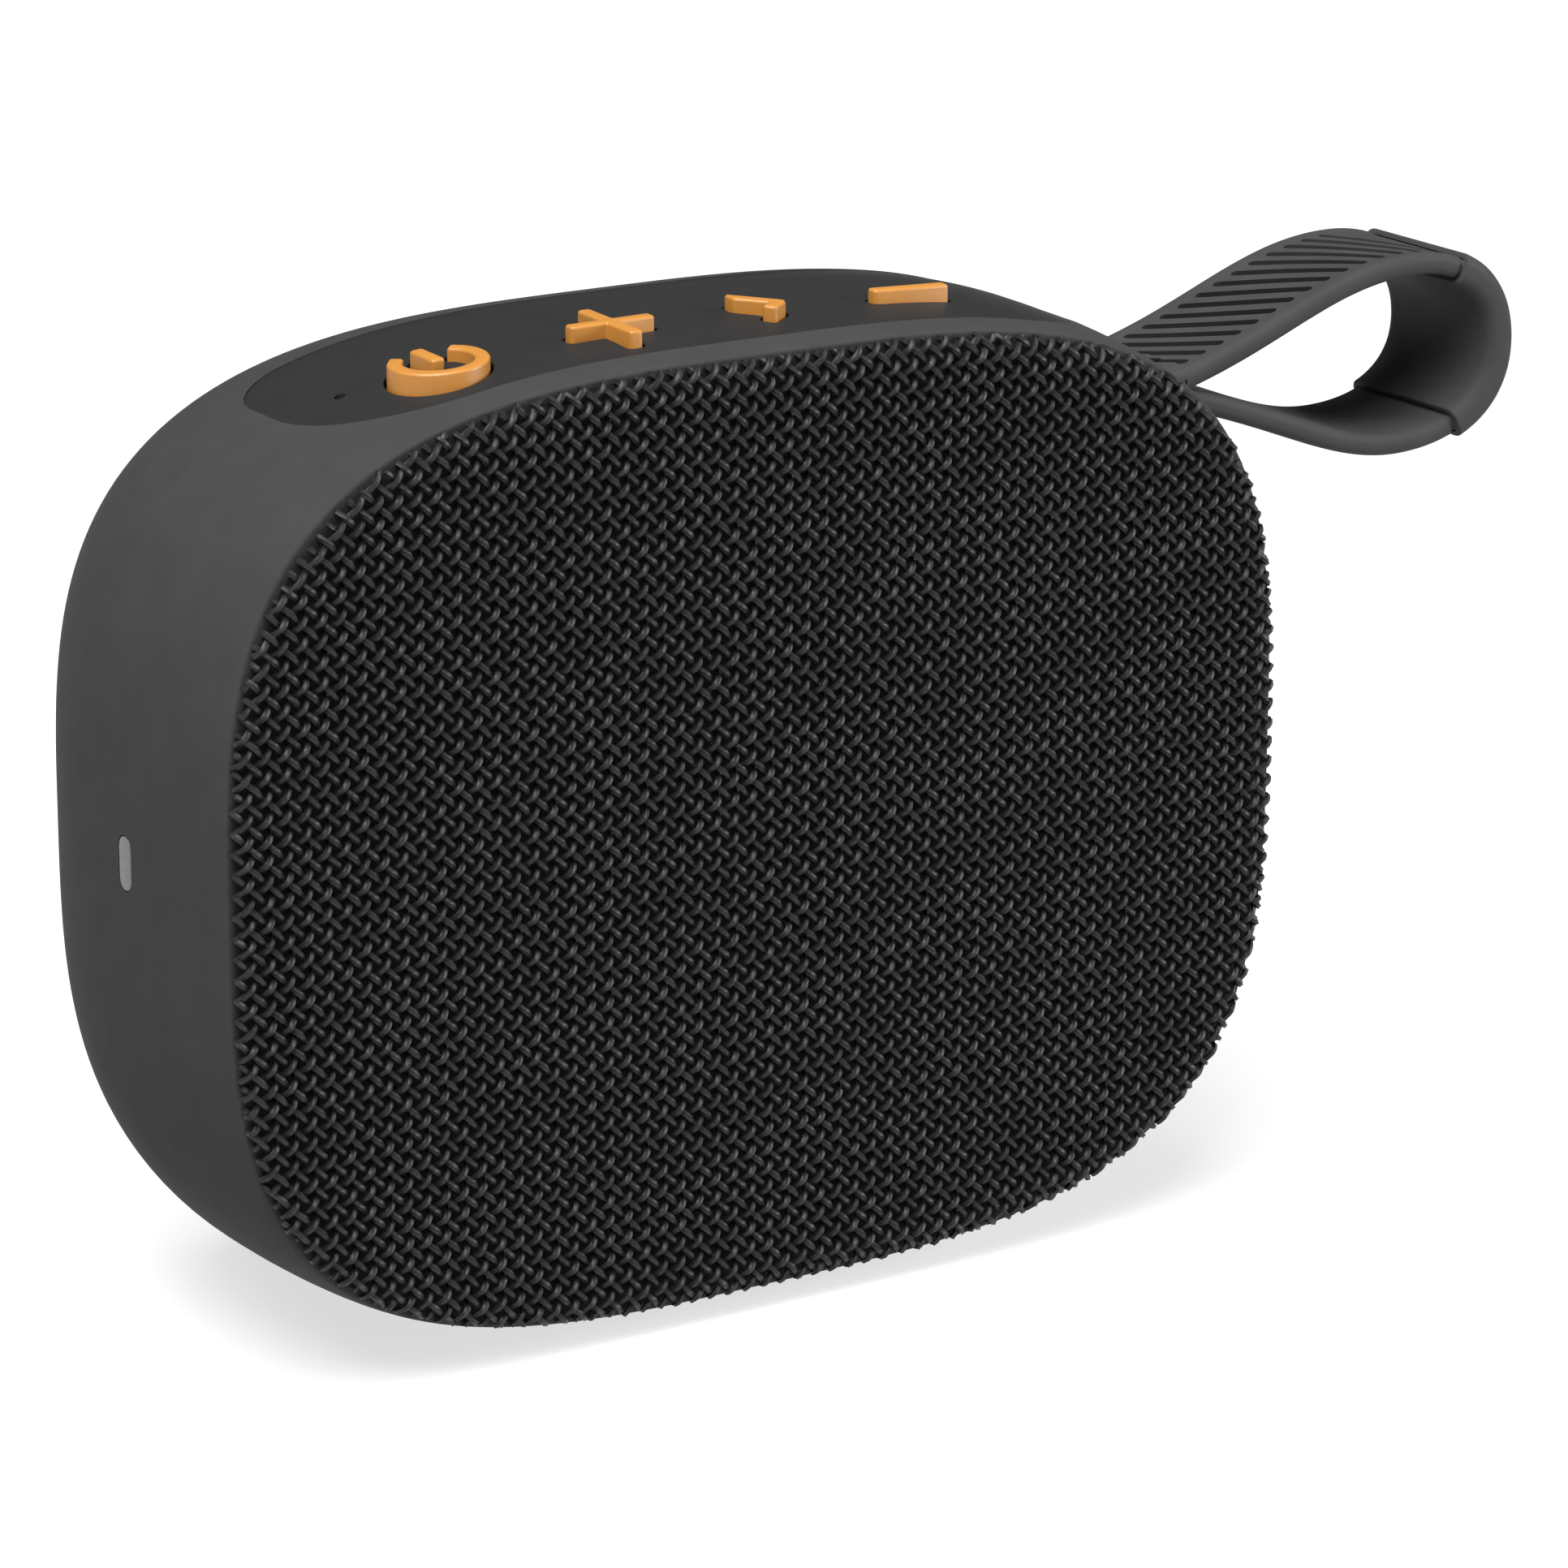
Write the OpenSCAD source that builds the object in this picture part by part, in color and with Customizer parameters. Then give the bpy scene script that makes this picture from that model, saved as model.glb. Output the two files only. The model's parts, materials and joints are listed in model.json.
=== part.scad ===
// Shower speaker: a palm-size sealed wireless speaker with a silicone finger loop.
// Millimetres. X runs to the right, Y to the back and Z up.
// The origin is the middle of the foot pad's underside.
// Inside at_body(), Y is measured back from the fabric seam and Z from mid-height.

/* [Body] */
// Width of the fabric face
face_w = 110; // [109:0.5:112]
// Height of the fabric face
face_h = 87.1; // [86.5:0.1:88.5]
// Depth from the fabric seam to the flat back
body_d = 43.4; // [43:0.1:44]
// Roundness of the outline: 2 is an ellipse, larger is squarer
corner_power = 3.25; // [3.2:0.05:3.4]
// How far the shell swells past the fabric face
side_bulge = 1.5; // [1.3:0.1:1.8]
// Distance from the seam back to the widest section
widest_y = 19.6; // [18:0.1:21]
// How far the outline draws in towards the back
back_round = 10.2; // [8:0.1:10.5]
// How far the fabric dome stands out of the seam
dome_h = 1.3; // [1.2:0.1:1.6]
// Wall thickness of the shell
wall = 2.6; // [2.5:0.1:2.8]
// How far the foot pad stands out of the shell
foot_proud = 0.8; // [0.6:0.1:1.2]

/* [Keys] */
// Distance from the seam back to the row of keys
key_y = 10.4; // [10.2:0.1:10.6]
// Width across the power symbol
power_w = 9; // [8.6:0.1:9.2]
// Thickness of the symbols' strokes
stroke = 1.35; // [1.2:0.05:1.5]
// How far the keys stand above the panel
key_stand = 1.55; // [1.2:0.05:1.8]
// How far a key travels when pressed
key_travel = 0.3; // [0.2:0.05:0.3]
// Gap round each symbol
key_gap = 0.3; // [0.25:0.05:0.35]
// Depth of the control panel's face below the shell
panel_step = 0.4; // [0.3:0.1:0.6]
// Half the length of the control panel
panel_half_w = 41; // [40:0.5:42]

/* [Finger loop] */
// Width of the loop's band
strap_w = 15.5; // [14:0.5:16]
// Thickness of the loop's band
strap_t = 2.1; // [1.8:0.1:2.3]
// Thickness of the sleeve round the loop's outer bend
sleeve_t = 3.2; // [2.9:0.1:3.4]
// Radius of the steel pin that holds the loop
pin_r = 1.25; // [1:0.05:1.3]
// How far the loop swings down, in degrees
swing_down = 25; // [10:1:25]
// How far the loop swings up, in degrees
swing_up = 20; // [10:1:20]

/* [Drivers] */
// Distance from the middle to the speaker driver
driver_x = -25.5; // [-26:0.1:-25.5]
// Distance from the middle to the passive radiator
radiator_x = 26.5; // [26.5:0.1:27]

/* [Hidden] */
$fn = 48;

shell_grey = [0.25, 0.26, 0.26];
panel_grey = [0.2, 0.2, 0.21];
key_orange = [0.95, 0.6, 0.22];
fabric_black = [0.14, 0.14, 0.14];
silicone_grey = [0.27, 0.27, 0.28];
mark_grey = [0.6, 0.6, 0.6];
steel = [0.7, 0.7, 0.72];
board_green = [0.1, 0.32, 0.2];
inner_black = [0.1, 0.1, 0.1];
copper = [0.75, 0.45, 0.25];

eps = 0.01;
outline_steps = 72;
seam_y = -(body_d - dome_h) / 2;
mid_z = face_h / 2 + side_bulge + foot_proud;
seam_gap = 0.35;
inner_back_y = body_d - wall;

// Layers behind the fabric
fabric_t = 1.4;
frame_front_y = fabric_t - dome_h;
frame_back_y = 1.2;
frame_inset = 1;
frame_clear = 0.2;
ledge_y = frame_back_y + 0.05;
rim_back_y = 2;
rim_t = 1.4;
hole_pitch = 4.6;
hole_r = 1.7;
baffle_front_y = 2.2;
baffle_back_y = 5;
gasket_w = 1.2;
baffle_clear = 0.2;
boss_r = 3.2;
boss_back_y = 12;
boss_points = [[41.5, 31.1], [-41.5, 31.1], [47.9, -22.3], [-47.9, -22.3], [20.5, -38.4], [-20.5, -38.4]];
baffle_screw_r = 1.05;
baffle_head_r = 1.9;
baffle_head_y = 3.4;
baffle_head_h = 1.1;
gasket_y = [3.6, 4.4];
thread_clear = 0.05;

// Keys, from the left: power, volume up, play, volume down. A key's top follows part of the panel's slope.
key_x = [-28.3, -11, 4.4, 20.5];
key_tilt = 0.5;
symbol_len = [8.6, 9.3, 8.1];
power_gap_half = 42;
power_bar = [-0.1, 4.1];
chevron_corner = [1.5, -1];
chevron_left = -1.6;
chevron_back = 130;
chevron_front = 218;
chevron_front_len = 2.4;
panel_t = 1.2;
panel_under = panel_step + panel_t;
panel_front_y = 3.8;
panel_back_y = 27;
panel_front_r = 13;
panel_back_r = 6;
flange_r = 5.2;
flange_t = 1;
flange_front = -5;
flange_clear = 0.35;
stem_r = 1.5;
plunger_r = 1.7;
plunger_hole_r = 2;
board_top_z = 32.6;
key_board_t = 1;
switch_h = 3.1;
switch_w = 6;
switch_top_z = board_top_z + switch_h;
plunger_top_z = switch_top_z + 1.1;
plunger_h = 2.2;
key_board_x = [-33.6, 27];
key_board_y = [5.4, 16.4];
seal_t = 0.55;
key_screw_x = [-19.7, 12.4];
key_screw_y = 13;
key_screw_r = 0.75;
key_screw_l = 5.6;
key_post_r = 1.9;
mic_pos = [-36, 14.2];

// Finger loop
strap_y = 21;
pin_pos = [46.5, 31.2];
neck_h = 2 * strap_t;
bulb_r = 3;
swing_clear = 0.3;
mouth_flare = 2;
side_clear = 0.5;
anchor_box = [[41.6, 11.2, 23], [60, 30.9, 40]];
slot_count = 15;
slot_first_x = 53.2;
slot_pitch = 2.1;
slot_lean = 27;
slot_root = [50.6, 32.6];
slot_w = 0.65;
slot_depth = 0.5;
slot_span = 10.2;

// Speaker driver and passive radiator
driver_gasket_t = 0.4;
driver_y = baffle_back_y + driver_gasket_t;
driver_flange_r = 25.5;
driver_hole_r = 22.2;
driver_screw_pcr = 23.8;
radiator_hole_r = 19.7;

// Electronics and battery
board_box = [[-38, 33, -28], [24, 34.6, 28]];
board_posts = [[-34, 24], [-34, -24], [18, 24], [18, -24]];
board_post_r = 2.4;
board_screw_r = 0.85;
board_screw_end_y = 39;
port_z = -18;
port_size = [9.6, 3.9];
cover_size = [17.4, 8.4];
cover_pocket_t = 1.3;
cover_clear = 0.3;
cover_axis_y = body_d - 0.65;
cover_axis_z = port_z + cover_size.y / 2 + 0.6;
cover_bead_r = 0.6;
cell_pos = [31, 21.5];
cell_r = 9.2;
cell_h = 65;
cell_low_z = -33;
cell_tip_h = 0.8;
cell_tip_r = 3.5;
bracket_t = 1.3;
bracket_l = 45;
bracket_clear = 0.15;
wire_r = 0.55;
foot_size = [48, 16];
foot_sunk = 1.1;
mark_size = [2.2, 5];
mark_pos = [17, 1.5];
mark_sunk = 0.4;

// ---- Shared geometry ----

// How much the outline grows at a distance behind the seam.
function swell(y) = y < widest_y
    ? side_bulge * sin(90 * y / widest_y)
    : side_bulge - back_round * (1 - sqrt(max(0, 1 - pow((y - widest_y) / (body_d - widest_y), 2))));

function outline_reach(ang, half_w, half_h) =
    pow(pow(abs(cos(ang)) / half_w, corner_power) + pow(abs(sin(ang)) / half_h, corner_power),
        -1 / corner_power);

// The face outline in X and Z, grown by a distance.
function outline(grow) = [for (i = [0 : outline_steps - 1])
    let (ang = 360 * (i + 0.5) / outline_steps)
    outline_reach(ang, face_w / 2 + grow, face_h / 2 + grow) * [cos(ang), sin(ang)]];

// Height of the shell's top at x and y, some depth below its surface.
function top_z(x, y, drop) =
    let (half_w = face_w / 2 + swell(y) - drop, half_h = face_h / 2 + swell(y) - drop)
    half_h * pow(1 - pow(abs(x) / half_w, corner_power), 1 / corner_power);

function arc(cx, cy, r, from, to, steps = 8) = [for (i = [0 : steps])
    let (ang = from + (to - from) * i / steps)
    [cx + r * cos(ang), cy + r * sin(ang)]];

module at_body() {
    translate([0, seam_y, mid_z]) children();
}

// A flat shape drawn in X and Z, from y0 back to y1.
module along_y(y0, y1) {
    translate([0, y1, 0]) rotate([90, 0, 0]) linear_extrude(y1 - y0) children();
}

module rod_y(r, y0, y1, pos) {
    along_y(y0, y1) translate(pos) circle(r);
}

// A profile of radius against distance back, turned about an axis along Y.
module turned_y(x, y) {
    translate([x, y, 0]) rotate([-90, 0, 0]) rotate_extrude() children();
}

module box(low_high) {
    translate(low_high[0]) cube(low_high[1] - low_high[0]);
}

module stadium(size) {
    run = size.x - size.y;
    square([run, size.y], center = true);
    for (side = [-1, 1]) translate([side * run / 2, 0]) circle(size.y / 2);
}

// A solid through grown outlines: each station is [y, growth].
module loft(stations) {
    n = outline_steps;
    last = len(stations) - 1;
    polyhedron(
        points = [for (s = stations) for (p = outline(s[1])) [p.x, s[0], p.y]],
        faces = concat(
            [[for (i = [n - 1 : -1 : 0]) i]],
            [for (k = [0 : last - 1]) for (i = [0 : n - 1]) let (j = (i + 1) % n)
                [k * n + i, k * n + j, (k + 1) * n + j, (k + 1) * n + i]],
            [[for (i = [0 : n - 1]) last * n + i]]));
}

// The part of the shell's top between two depths, over the control panel.
module top_layer(drop_high, drop_low) {
    xs = [for (i = [-11 : 11]) 4 * i];
    ys = [for (j = [0 : 9]) 1 + 3.2 * j];
    nx = len(xs);
    ny = len(ys);
    function id(k, i, j) = (k * nx + i) * ny + j;
    polyhedron(
        points = [for (drop = [drop_high, drop_low]) for (x = xs) for (y = ys) [x, y, top_z(x, y, drop)]],
        faces = concat(
            [for (i = [0 : nx - 2]) for (j = [0 : ny - 2])
                [id(0, i, j), id(0, i, j + 1), id(0, i + 1, j + 1), id(0, i + 1, j)]],
            [for (i = [0 : nx - 2]) for (j = [0 : ny - 2])
                [id(1, i + 1, j), id(1, i + 1, j + 1), id(1, i, j + 1), id(1, i, j)]],
            [for (i = [0 : nx - 2]) [id(0, i, 0), id(0, i + 1, 0), id(1, i + 1, 0), id(1, i, 0)]],
            [for (i = [0 : nx - 2])
                [id(0, i + 1, ny - 1), id(0, i, ny - 1), id(1, i, ny - 1), id(1, i + 1, ny - 1)]],
            [for (j = [0 : ny - 2]) [id(0, 0, j + 1), id(0, 0, j), id(1, 0, j), id(1, 0, j + 1)]],
            [for (j = [0 : ny - 2])
                [id(0, nx - 1, j), id(0, nx - 1, j + 1), id(1, nx - 1, j + 1), id(1, nx - 1, j)]]));
}

// ---- Outer shell and panel ----

module panel_shape(grow) {
    front = panel_half_w - panel_front_r;
    back = panel_half_w - panel_back_r;
    polygon(concat(
        arc(-front, panel_front_y + panel_front_r, panel_front_r + grow, 180, 270),
        arc(front, panel_front_y + panel_front_r, panel_front_r + grow, 270, 360),
        arc(back, panel_back_y - panel_back_r, panel_back_r + grow, 0, 90),
        arc(-back, panel_back_y - panel_back_r, panel_back_r + grow, 90, 180)));
}

// The round foot of a key, cut flat where it passes behind the baffle.
module flange_shape(grow) {
    r = flange_r + grow;
    intersection() {
        circle(r);
        translate([-r, flange_front - grow]) square([2 * r, r - flange_front + grow]);
    }
}

// The open shell as one loft: up the inside from the back wall, round the ledge that the grille frame
// sits on, over the rim and down the outside.
module shell_hollow() {
    inside = [for (y = [inner_back_y, 38, 34, 28, 20, 12, 5, baffle_front_y]) [y, swell(y) - wall]];
    ledge = [[ledge_y, swell(baffle_front_y) - wall], [ledge_y, frame_clear - frame_inset]];
    outside = [for (y = [seam_gap, 5, 10, 15, 20, 26, 31, 35, 38, 40.4, 42.1, 43.1, body_d]) [y, swell(y)]];
    loft(concat(inside, ledge, [[seam_gap, frame_clear - frame_inset]], outside));
}

module shell_bosses() {
    for (p = boss_points) rod_y(boss_r, baffle_back_y, boss_back_y, p);
    for (p = board_posts) rod_y(board_post_r, board_box[1].y, inner_back_y + 1, p);
    for (x = key_screw_x)
        translate([x, key_screw_y, board_top_z])
            cylinder(r = key_post_r, h = top_z(x, key_screw_y, panel_under + 0.5) - board_top_z);
}

// The thick corner that carries the finger loop's pin.
module anchor_block() {
    intersection() {
        loft([for (y = [5, 10, 15, 20, 26, 31, 35]) [y, swell(y) - 0.2]]);
        box(anchor_box);
    }
}

module strap_pocket() {
    half = neck_h / 2 + swing_clear;
    along_y(strap_y - strap_w / 2 - side_clear, strap_y + strap_w / 2 + side_clear) translate(pin_pos) {
        circle(bulb_r + swing_clear);
        for (ang = [-swing_down - mouth_flare, -swing_down / 2, 0, swing_up / 2, swing_up + mouth_flare])
            rotate(ang) translate([0, -half]) square([20, 2 * half]);
    }
}

module screw_holes() {
    for (p = boss_points) rod_y(baffle_screw_r + thread_clear, baffle_back_y - 1, boss_back_y - 0.8, p);
    for (p = board_posts) rod_y(board_screw_r + thread_clear, board_box[1].y - 1, board_screw_end_y + 0.4, p);
    for (x = key_screw_x) translate([x, key_screw_y, board_top_z - 1])
        cylinder(r = key_screw_r + thread_clear, h = key_screw_l + 0.8);
}

module key_windows() {
    for (x = key_x) translate([x, key_y, 36]) linear_extrude(14) flange_shape(0.35);
}

module port_opening() {
    pocket_h = cover_size.y + 2 * cover_clear + 1.5;
    along_y(body_d - cover_pocket_t, body_d + 1)
        translate([0, port_z - cover_size.y / 2 - cover_clear + pocket_h / 2])
        square([cover_size.x + 2 * cover_clear, pocket_h], center = true);
    along_y(inner_back_y - 1, body_d) translate([0, port_z]) stadium(port_size);
}

module rear_shell() {
    color(shell_grey) at_body() difference() {
        union() {
            shell_hollow();
            shell_bosses();
            anchor_block();
        }
        intersection() {
            translate([0, 0, 20]) linear_extrude(40) panel_shape(0.1);
            top_layer(-3, panel_under + 0.05);
        }
        key_windows();
        screw_holes();
        strap_pocket();
        rod_y(pin_r, anchor_box[0].y - 1, anchor_box[1].y - 0.5, pin_pos);
        port_opening();
        translate([mic_pos.x, mic_pos.y, 30]) cylinder(r = 0.6, h = 12);
        foot_shape(0.05, 2);
        mark_shape(0.05);
    }
}

module control_panel() {
    color(panel_grey) at_body() difference() {
        intersection() {
            translate([0, 0, 20]) linear_extrude(40) panel_shape(0);
            top_layer(panel_step, panel_under);
        }
        for (i = [0 : 3]) translate([key_x[i], key_y, 30]) linear_extrude(20) symbol(i, key_gap);
        translate([mic_pos.x, mic_pos.y, 30]) cylinder(r = 0.5, h = 20);
    }
}

module foot_shape(grow, below) {
    translate([0, -seam_y, foot_proud - mid_z - below]) linear_extrude(foot_sunk + below)
        stadium(foot_size + 2 * grow * [1, 1]);
}

module foot_pad() {
    color(silicone_grey) at_body() foot_shape(0, foot_proud);
}

// A plain upright pill let into the left side.
module mark_shape(grow) {
    side_x = face_w / 2 + swell(mark_pos.x);
    translate([-side_x - 0.02 - 5 * grow, mark_pos.x, mark_pos.y]) rotate([90, 90, 90])
        linear_extrude(mark_sunk + 5 * grow) stadium([mark_size.y, mark_size.x] + 2 * grow * [1, 1]);
}

module side_mark() {
    color(mark_grey) at_body() mark_shape(0);
}

// ---- Keys ----

// A straight stroke from a to b, with square ends.
module bar(a, b, w) {
    d = b - a;
    translate(a) rotate(atan2(d.y, d.x)) translate([0, -w / 2]) square([norm(d), w]);
}

// An arc open at the back, with a bar standing in the opening.
module power_symbol(w, grow) {
    far = power_w;
    difference() {
        circle(power_w / 2 + grow);
        circle(power_w / 2 - stroke - grow);
        translate([0, grow / sin(power_gap_half)])
            polygon([[0, 0], [far * tan(power_gap_half), far], [-far * tan(power_gap_half), far]]);
    }
    bar([0, power_bar[0] - grow], [0, power_bar[1] + grow], w);
}

// Two arms from a rounded corner: the back one is longer and cut off parallel to Y.
module chevron_symbol(w, grow) {
    reach = 10;
    translate(chevron_corner) circle(w / 2);
    translate(chevron_corner) rotate(chevron_front) translate([0, -w / 2])
        square([chevron_front_len + grow, w]);
    intersection() {
        translate(chevron_corner) rotate(chevron_back) translate([0, -w / 2]) square([reach, w]);
        translate([chevron_left - grow, -reach]) square(2 * reach);
    }
}

// The four symbols: power, plus, chevron and minus.
module symbol(i, grow) {
    w = stroke + 2 * grow;
    if (i == 0) power_symbol(w, grow);
    if (i == 1) {
        square([symbol_len[0] + 2 * grow, w], center = true);
        square([w, symbol_len[1] + 2 * grow], center = true);
    }
    if (i == 2) chevron_symbol(w, grow);
    if (i == 3) square([symbol_len[2] + 2 * grow, w], center = true);
}

// The key's foot stays below the panel's lowest point over it.
function flange_top(i) =
    top_z(abs(key_x[i]) + flange_r, key_y + flange_front, panel_under) - flange_clear;

module key(i) {
    x = key_x[i];
    low = flange_top(i) - flange_t;
    slope = key_tilt * (top_z(x + 1, key_y, panel_step) - top_z(x - 1, key_y, panel_step)) / 2;
    color(key_orange) at_body() {
        intersection() {
            translate([x, key_y, low]) linear_extrude(20) symbol(i, 0);
            translate([x, key_y, top_z(x, key_y, panel_step) + key_stand])
                rotate([0, -atan(slope), 0])
                translate([-8, -8, -20]) cube([16, 16, 20]);
        }
        translate([x, key_y, low]) linear_extrude(flange_t) flange_shape(0);
        translate([x, key_y, plunger_top_z]) cylinder(r = stem_r, h = low - plunger_top_z + eps);
    }
}

module plunger(i) {
    color(inner_black) at_body()
        translate([key_x[i], key_y, plunger_top_z - plunger_h]) cylinder(r = plunger_r, h = plunger_h);
}

module power_button() key(0);
module volume_up_button() key(1);
module play_button() key(2);
module volume_down_button() key(3);
module power_plunger() plunger(0);
module volume_up_plunger() plunger(1);
module play_plunger() plunger(2);
module volume_down_plunger() plunger(3);

module tact_switches() {
    color(steel) at_body() for (x = key_x) difference() {
        translate([x - switch_w / 2, key_y - switch_w / 2, board_top_z]) cube([switch_w, switch_w, switch_h]);
        translate([x, key_y, plunger_top_z - plunger_h - key_travel - 0.1])
            cylinder(r = plunger_hole_r, h = 5);
    }
}

module key_board() {
    color(board_green) at_body() difference() {
        box([[key_board_x[0], key_board_y[0], board_top_z - key_board_t],
            [key_board_x[1], key_board_y[1], board_top_z]]);
        for (x = key_screw_x) translate([x, key_screw_y, board_top_z - 2]) cylinder(r = 1, h = 4);
    }
}

// A silicone cap over the key board, with a lip round each plunger.
module button_seal() {
    top = switch_top_z + 0.05 + seal_t;
    color(silicone_grey) at_body() difference() {
        box([[key_board_x[0] + 0.1, key_board_y[0], board_top_z],
            [key_board_x[1] - 0.1, key_board_y[1], top]]);
        box([[key_board_x[0] + 0.7, key_board_y[0] + 0.6, board_top_z - 1],
            [key_board_x[1] - 0.7, key_board_y[1] - 0.6, top - seal_t]]);
        for (x = key_x) translate([x, key_y, 30]) cylinder(r = plunger_hole_r, h = 10);
        for (x = key_screw_x) translate([x, key_screw_y, 30]) cylinder(r = 2.1, h = 10);
    }
}

module key_board_screws() {
    color(steel) at_body() for (x = key_screw_x) translate([x, key_screw_y, 0]) {
        translate([0, 0, board_top_z - key_board_t - 1.2]) cylinder(r = 1.7, h = 1.2);
        translate([0, 0, board_top_z - key_board_t - eps]) cylinder(r = key_screw_r, h = key_screw_l);
    }
}

module microphone() {
    color(steel) at_body() translate([mic_pos.x - 0.4, mic_pos.y, 34.8]) cylinder(r = 1.7, h = 1.6);
}

// ---- Grille and baffle ----

// Puts its children at each point of a hexagonal grid inside a circle in X and Z.
module hex_grid(centre, r) {
    rows = floor(r / (hole_pitch * sin(60)));
    for (row = [-rows : rows]) for (col = [-8 : 8]) {
        x = hole_pitch * (col + (row % 2 == 0 ? 0 : 0.5));
        z = hole_pitch * sin(60) * row;
        if (norm([x, z]) < r - hole_r) translate([centre + x, z]) children();
    }
}

// A cap of thick fabric that wraps the edge of the grille frame.
module grille_fabric() {
    edge_y = 0.25;
    color(fabric_black) at_body()
        loft([[-dome_h, -3], [-0.8 * dome_h, -1], [-0.5 * dome_h, -0.3], [edge_y, 0],
            [edge_y, -frame_inset], [frame_front_y, -frame_inset]]);
}

module grille_frame() {
    color(inner_black) at_body() {
        along_y(frame_front_y, frame_back_y) difference() {
            polygon(outline(-frame_inset));
            hex_grid(driver_x, 21) circle(hole_r, $fn = 6);
            hex_grid(radiator_x, 19) circle(hole_r, $fn = 6);
        }
        along_y(frame_back_y - eps, rim_back_y) difference() {
            polygon(outline(-wall - baffle_clear));
            polygon(outline(-wall - baffle_clear - rim_t));
        }
    }
}

module driver_screw_points() {
    for (ang = [45 : 90 : 315]) translate(driver_screw_pcr * [cos(ang), sin(ang)]) children();
}

module front_baffle() {
    edge = swell(baffle_front_y) - wall - baffle_clear;
    color(inner_black) at_body() difference() {
        along_y(baffle_front_y, baffle_back_y) difference() {
            polygon(outline(edge));
            translate([driver_x, 0]) circle(driver_hole_r);
            translate([radiator_x, 0]) circle(radiator_hole_r);
            for (p = boss_points) translate(p) circle(baffle_screw_r + 0.15);
        }
        for (p = boss_points) rod_y(baffle_head_r + 0.2, baffle_front_y - 1, baffle_head_y, p);
        along_y(gasket_y[0], gasket_y[1]) difference() {
            polygon(outline(edge + 2));
            polygon(outline(edge - gasket_w + baffle_clear));
        }
        along_y(2.8, baffle_back_y + 1) translate([driver_x, 0]) driver_screw_points() circle(0.95);
    }
}

module baffle_gasket() {
    edge = swell(gasket_y[0]) - wall;
    color(silicone_grey) at_body() along_y(gasket_y[0], gasket_y[1]) difference() {
        polygon(outline(edge - 0.02));
        polygon(outline(edge - gasket_w + 0.1));
    }
}

module baffle_screws() {
    color(steel) at_body() for (p = boss_points) {
        rod_y(baffle_head_r, baffle_head_y - baffle_head_h, baffle_head_y, p);
        rod_y(baffle_screw_r, baffle_head_y - eps, boss_back_y - 1.2, p);
    }
}

// ---- Speaker driver ----

// A half-round roll of rubber with a flat lip on each side.
module roll_profile(inner_lip, mid, r, outer_lip) {
    skin = 0.5;
    polygon(concat(
        [[inner_lip, -skin]], arc(mid, -skin, r, 180, 360), [[outer_lip, -skin], [outer_lip, 0]],
        [[mid + r - skin, 0]], arc(mid, -skin, r - skin, 360, 180), [[mid - r + skin, 0], [inner_lip, 0]]));
}

module driver_basket() {
    color(inner_black) at_body() difference() {
        turned_y(driver_x, driver_y) polygon([
            [20.8, 0], [driver_flange_r, 0], [driver_flange_r, 1.2], [21.9, 1.2], [19.2, 6.8], [19.2, 9.8],
            [10.4, 9.8], [10.4, 8.8], [15.8, 8.8], [15.8, 7.6], [17.8, 7.6], [17.8, 6.6], [20.8, 1]]);
        along_y(driver_y - 1, driver_y + 2) translate([driver_x, 0]) driver_screw_points() circle(1.1);
        for (ang = [0 : 60 : 300]) translate([driver_x, driver_y + 2.2, 0]) rotate([0, ang + 30, 0])
            translate([15, 0, -5.5]) cube([10, 3.8, 11]);
    }
}

module driver_surround() {
    color(inner_black) at_body() turned_y(driver_x, driver_y) roll_profile(15.7, 18.95, 2.1, 22);
}

module driver_cone() {
    color(inner_black) at_body() turned_y(driver_x, driver_y) polygon([
        [15.6, 0], [16.9, 0], [16.9, 0.5], [9.6, 6.2], [9.6, 6.7], [9.2, 6.7], [9.2, 5.9], [15.6, 0.9]]);
}

module driver_dust_cap() {
    r = 15;
    half = 37;
    color(inner_black) at_body() turned_y(driver_x, driver_y) intersection() {
        translate([0, r + 2.3]) polygon(concat(
            arc(0, 0, r, -90, half - 90, 10), arc(0, 0, r - 0.4, half - 90, -90, 10)));
        square([20, 30]);
    }
}

module driver_voice_coil() {
    color(copper) at_body() turned_y(driver_x, driver_y) polygon([
        [8.9, 6.1], [9.2, 6.1], [9.2, 10], [9.6, 10], [9.6, 13.4], [8.9, 13.4]]);
}

module driver_spider() {
    waves = 5;
    pitch = 8 / (2 * waves);
    function edge(y) = [for (i = [0 : 2 * waves]) [9.4 + pitch * i, y + (i % 2) * 0.35]];
    color([0.75, 0.6, 0.35]) at_body() turned_y(driver_x, driver_y) polygon(concat(
        edge(6.85), [[17.6, 7.2], [17.6, 7.6]], [for (i = [2 * waves : -1 : 0]) edge(7.25)[i]]));
}

module driver_top_plate() {
    color(steel) at_body() turned_y(driver_x, driver_y) translate([10.2, 9.8]) square([5.8, 2.5]);
}

module driver_magnet() {
    color([0.3, 0.3, 0.32]) at_body() turned_y(driver_x, driver_y) translate([12, 12.3]) square([6, 5.5]);
}

module driver_yoke() {
    color(steel) at_body() turned_y(driver_x, driver_y) polygon([
        [2.5, 10], [8.5, 10], [8.5, 17.8], [16.5, 17.8], [16.5, 19.8], [2.5, 19.8]]);
}

module driver_gasket() {
    color(inner_black) at_body() along_y(baffle_back_y, driver_y) translate([driver_x, 0]) difference() {
        circle(driver_flange_r);
        circle(driver_hole_r + 0.1);
        driver_screw_points() circle(1.1);
    }
}

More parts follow.
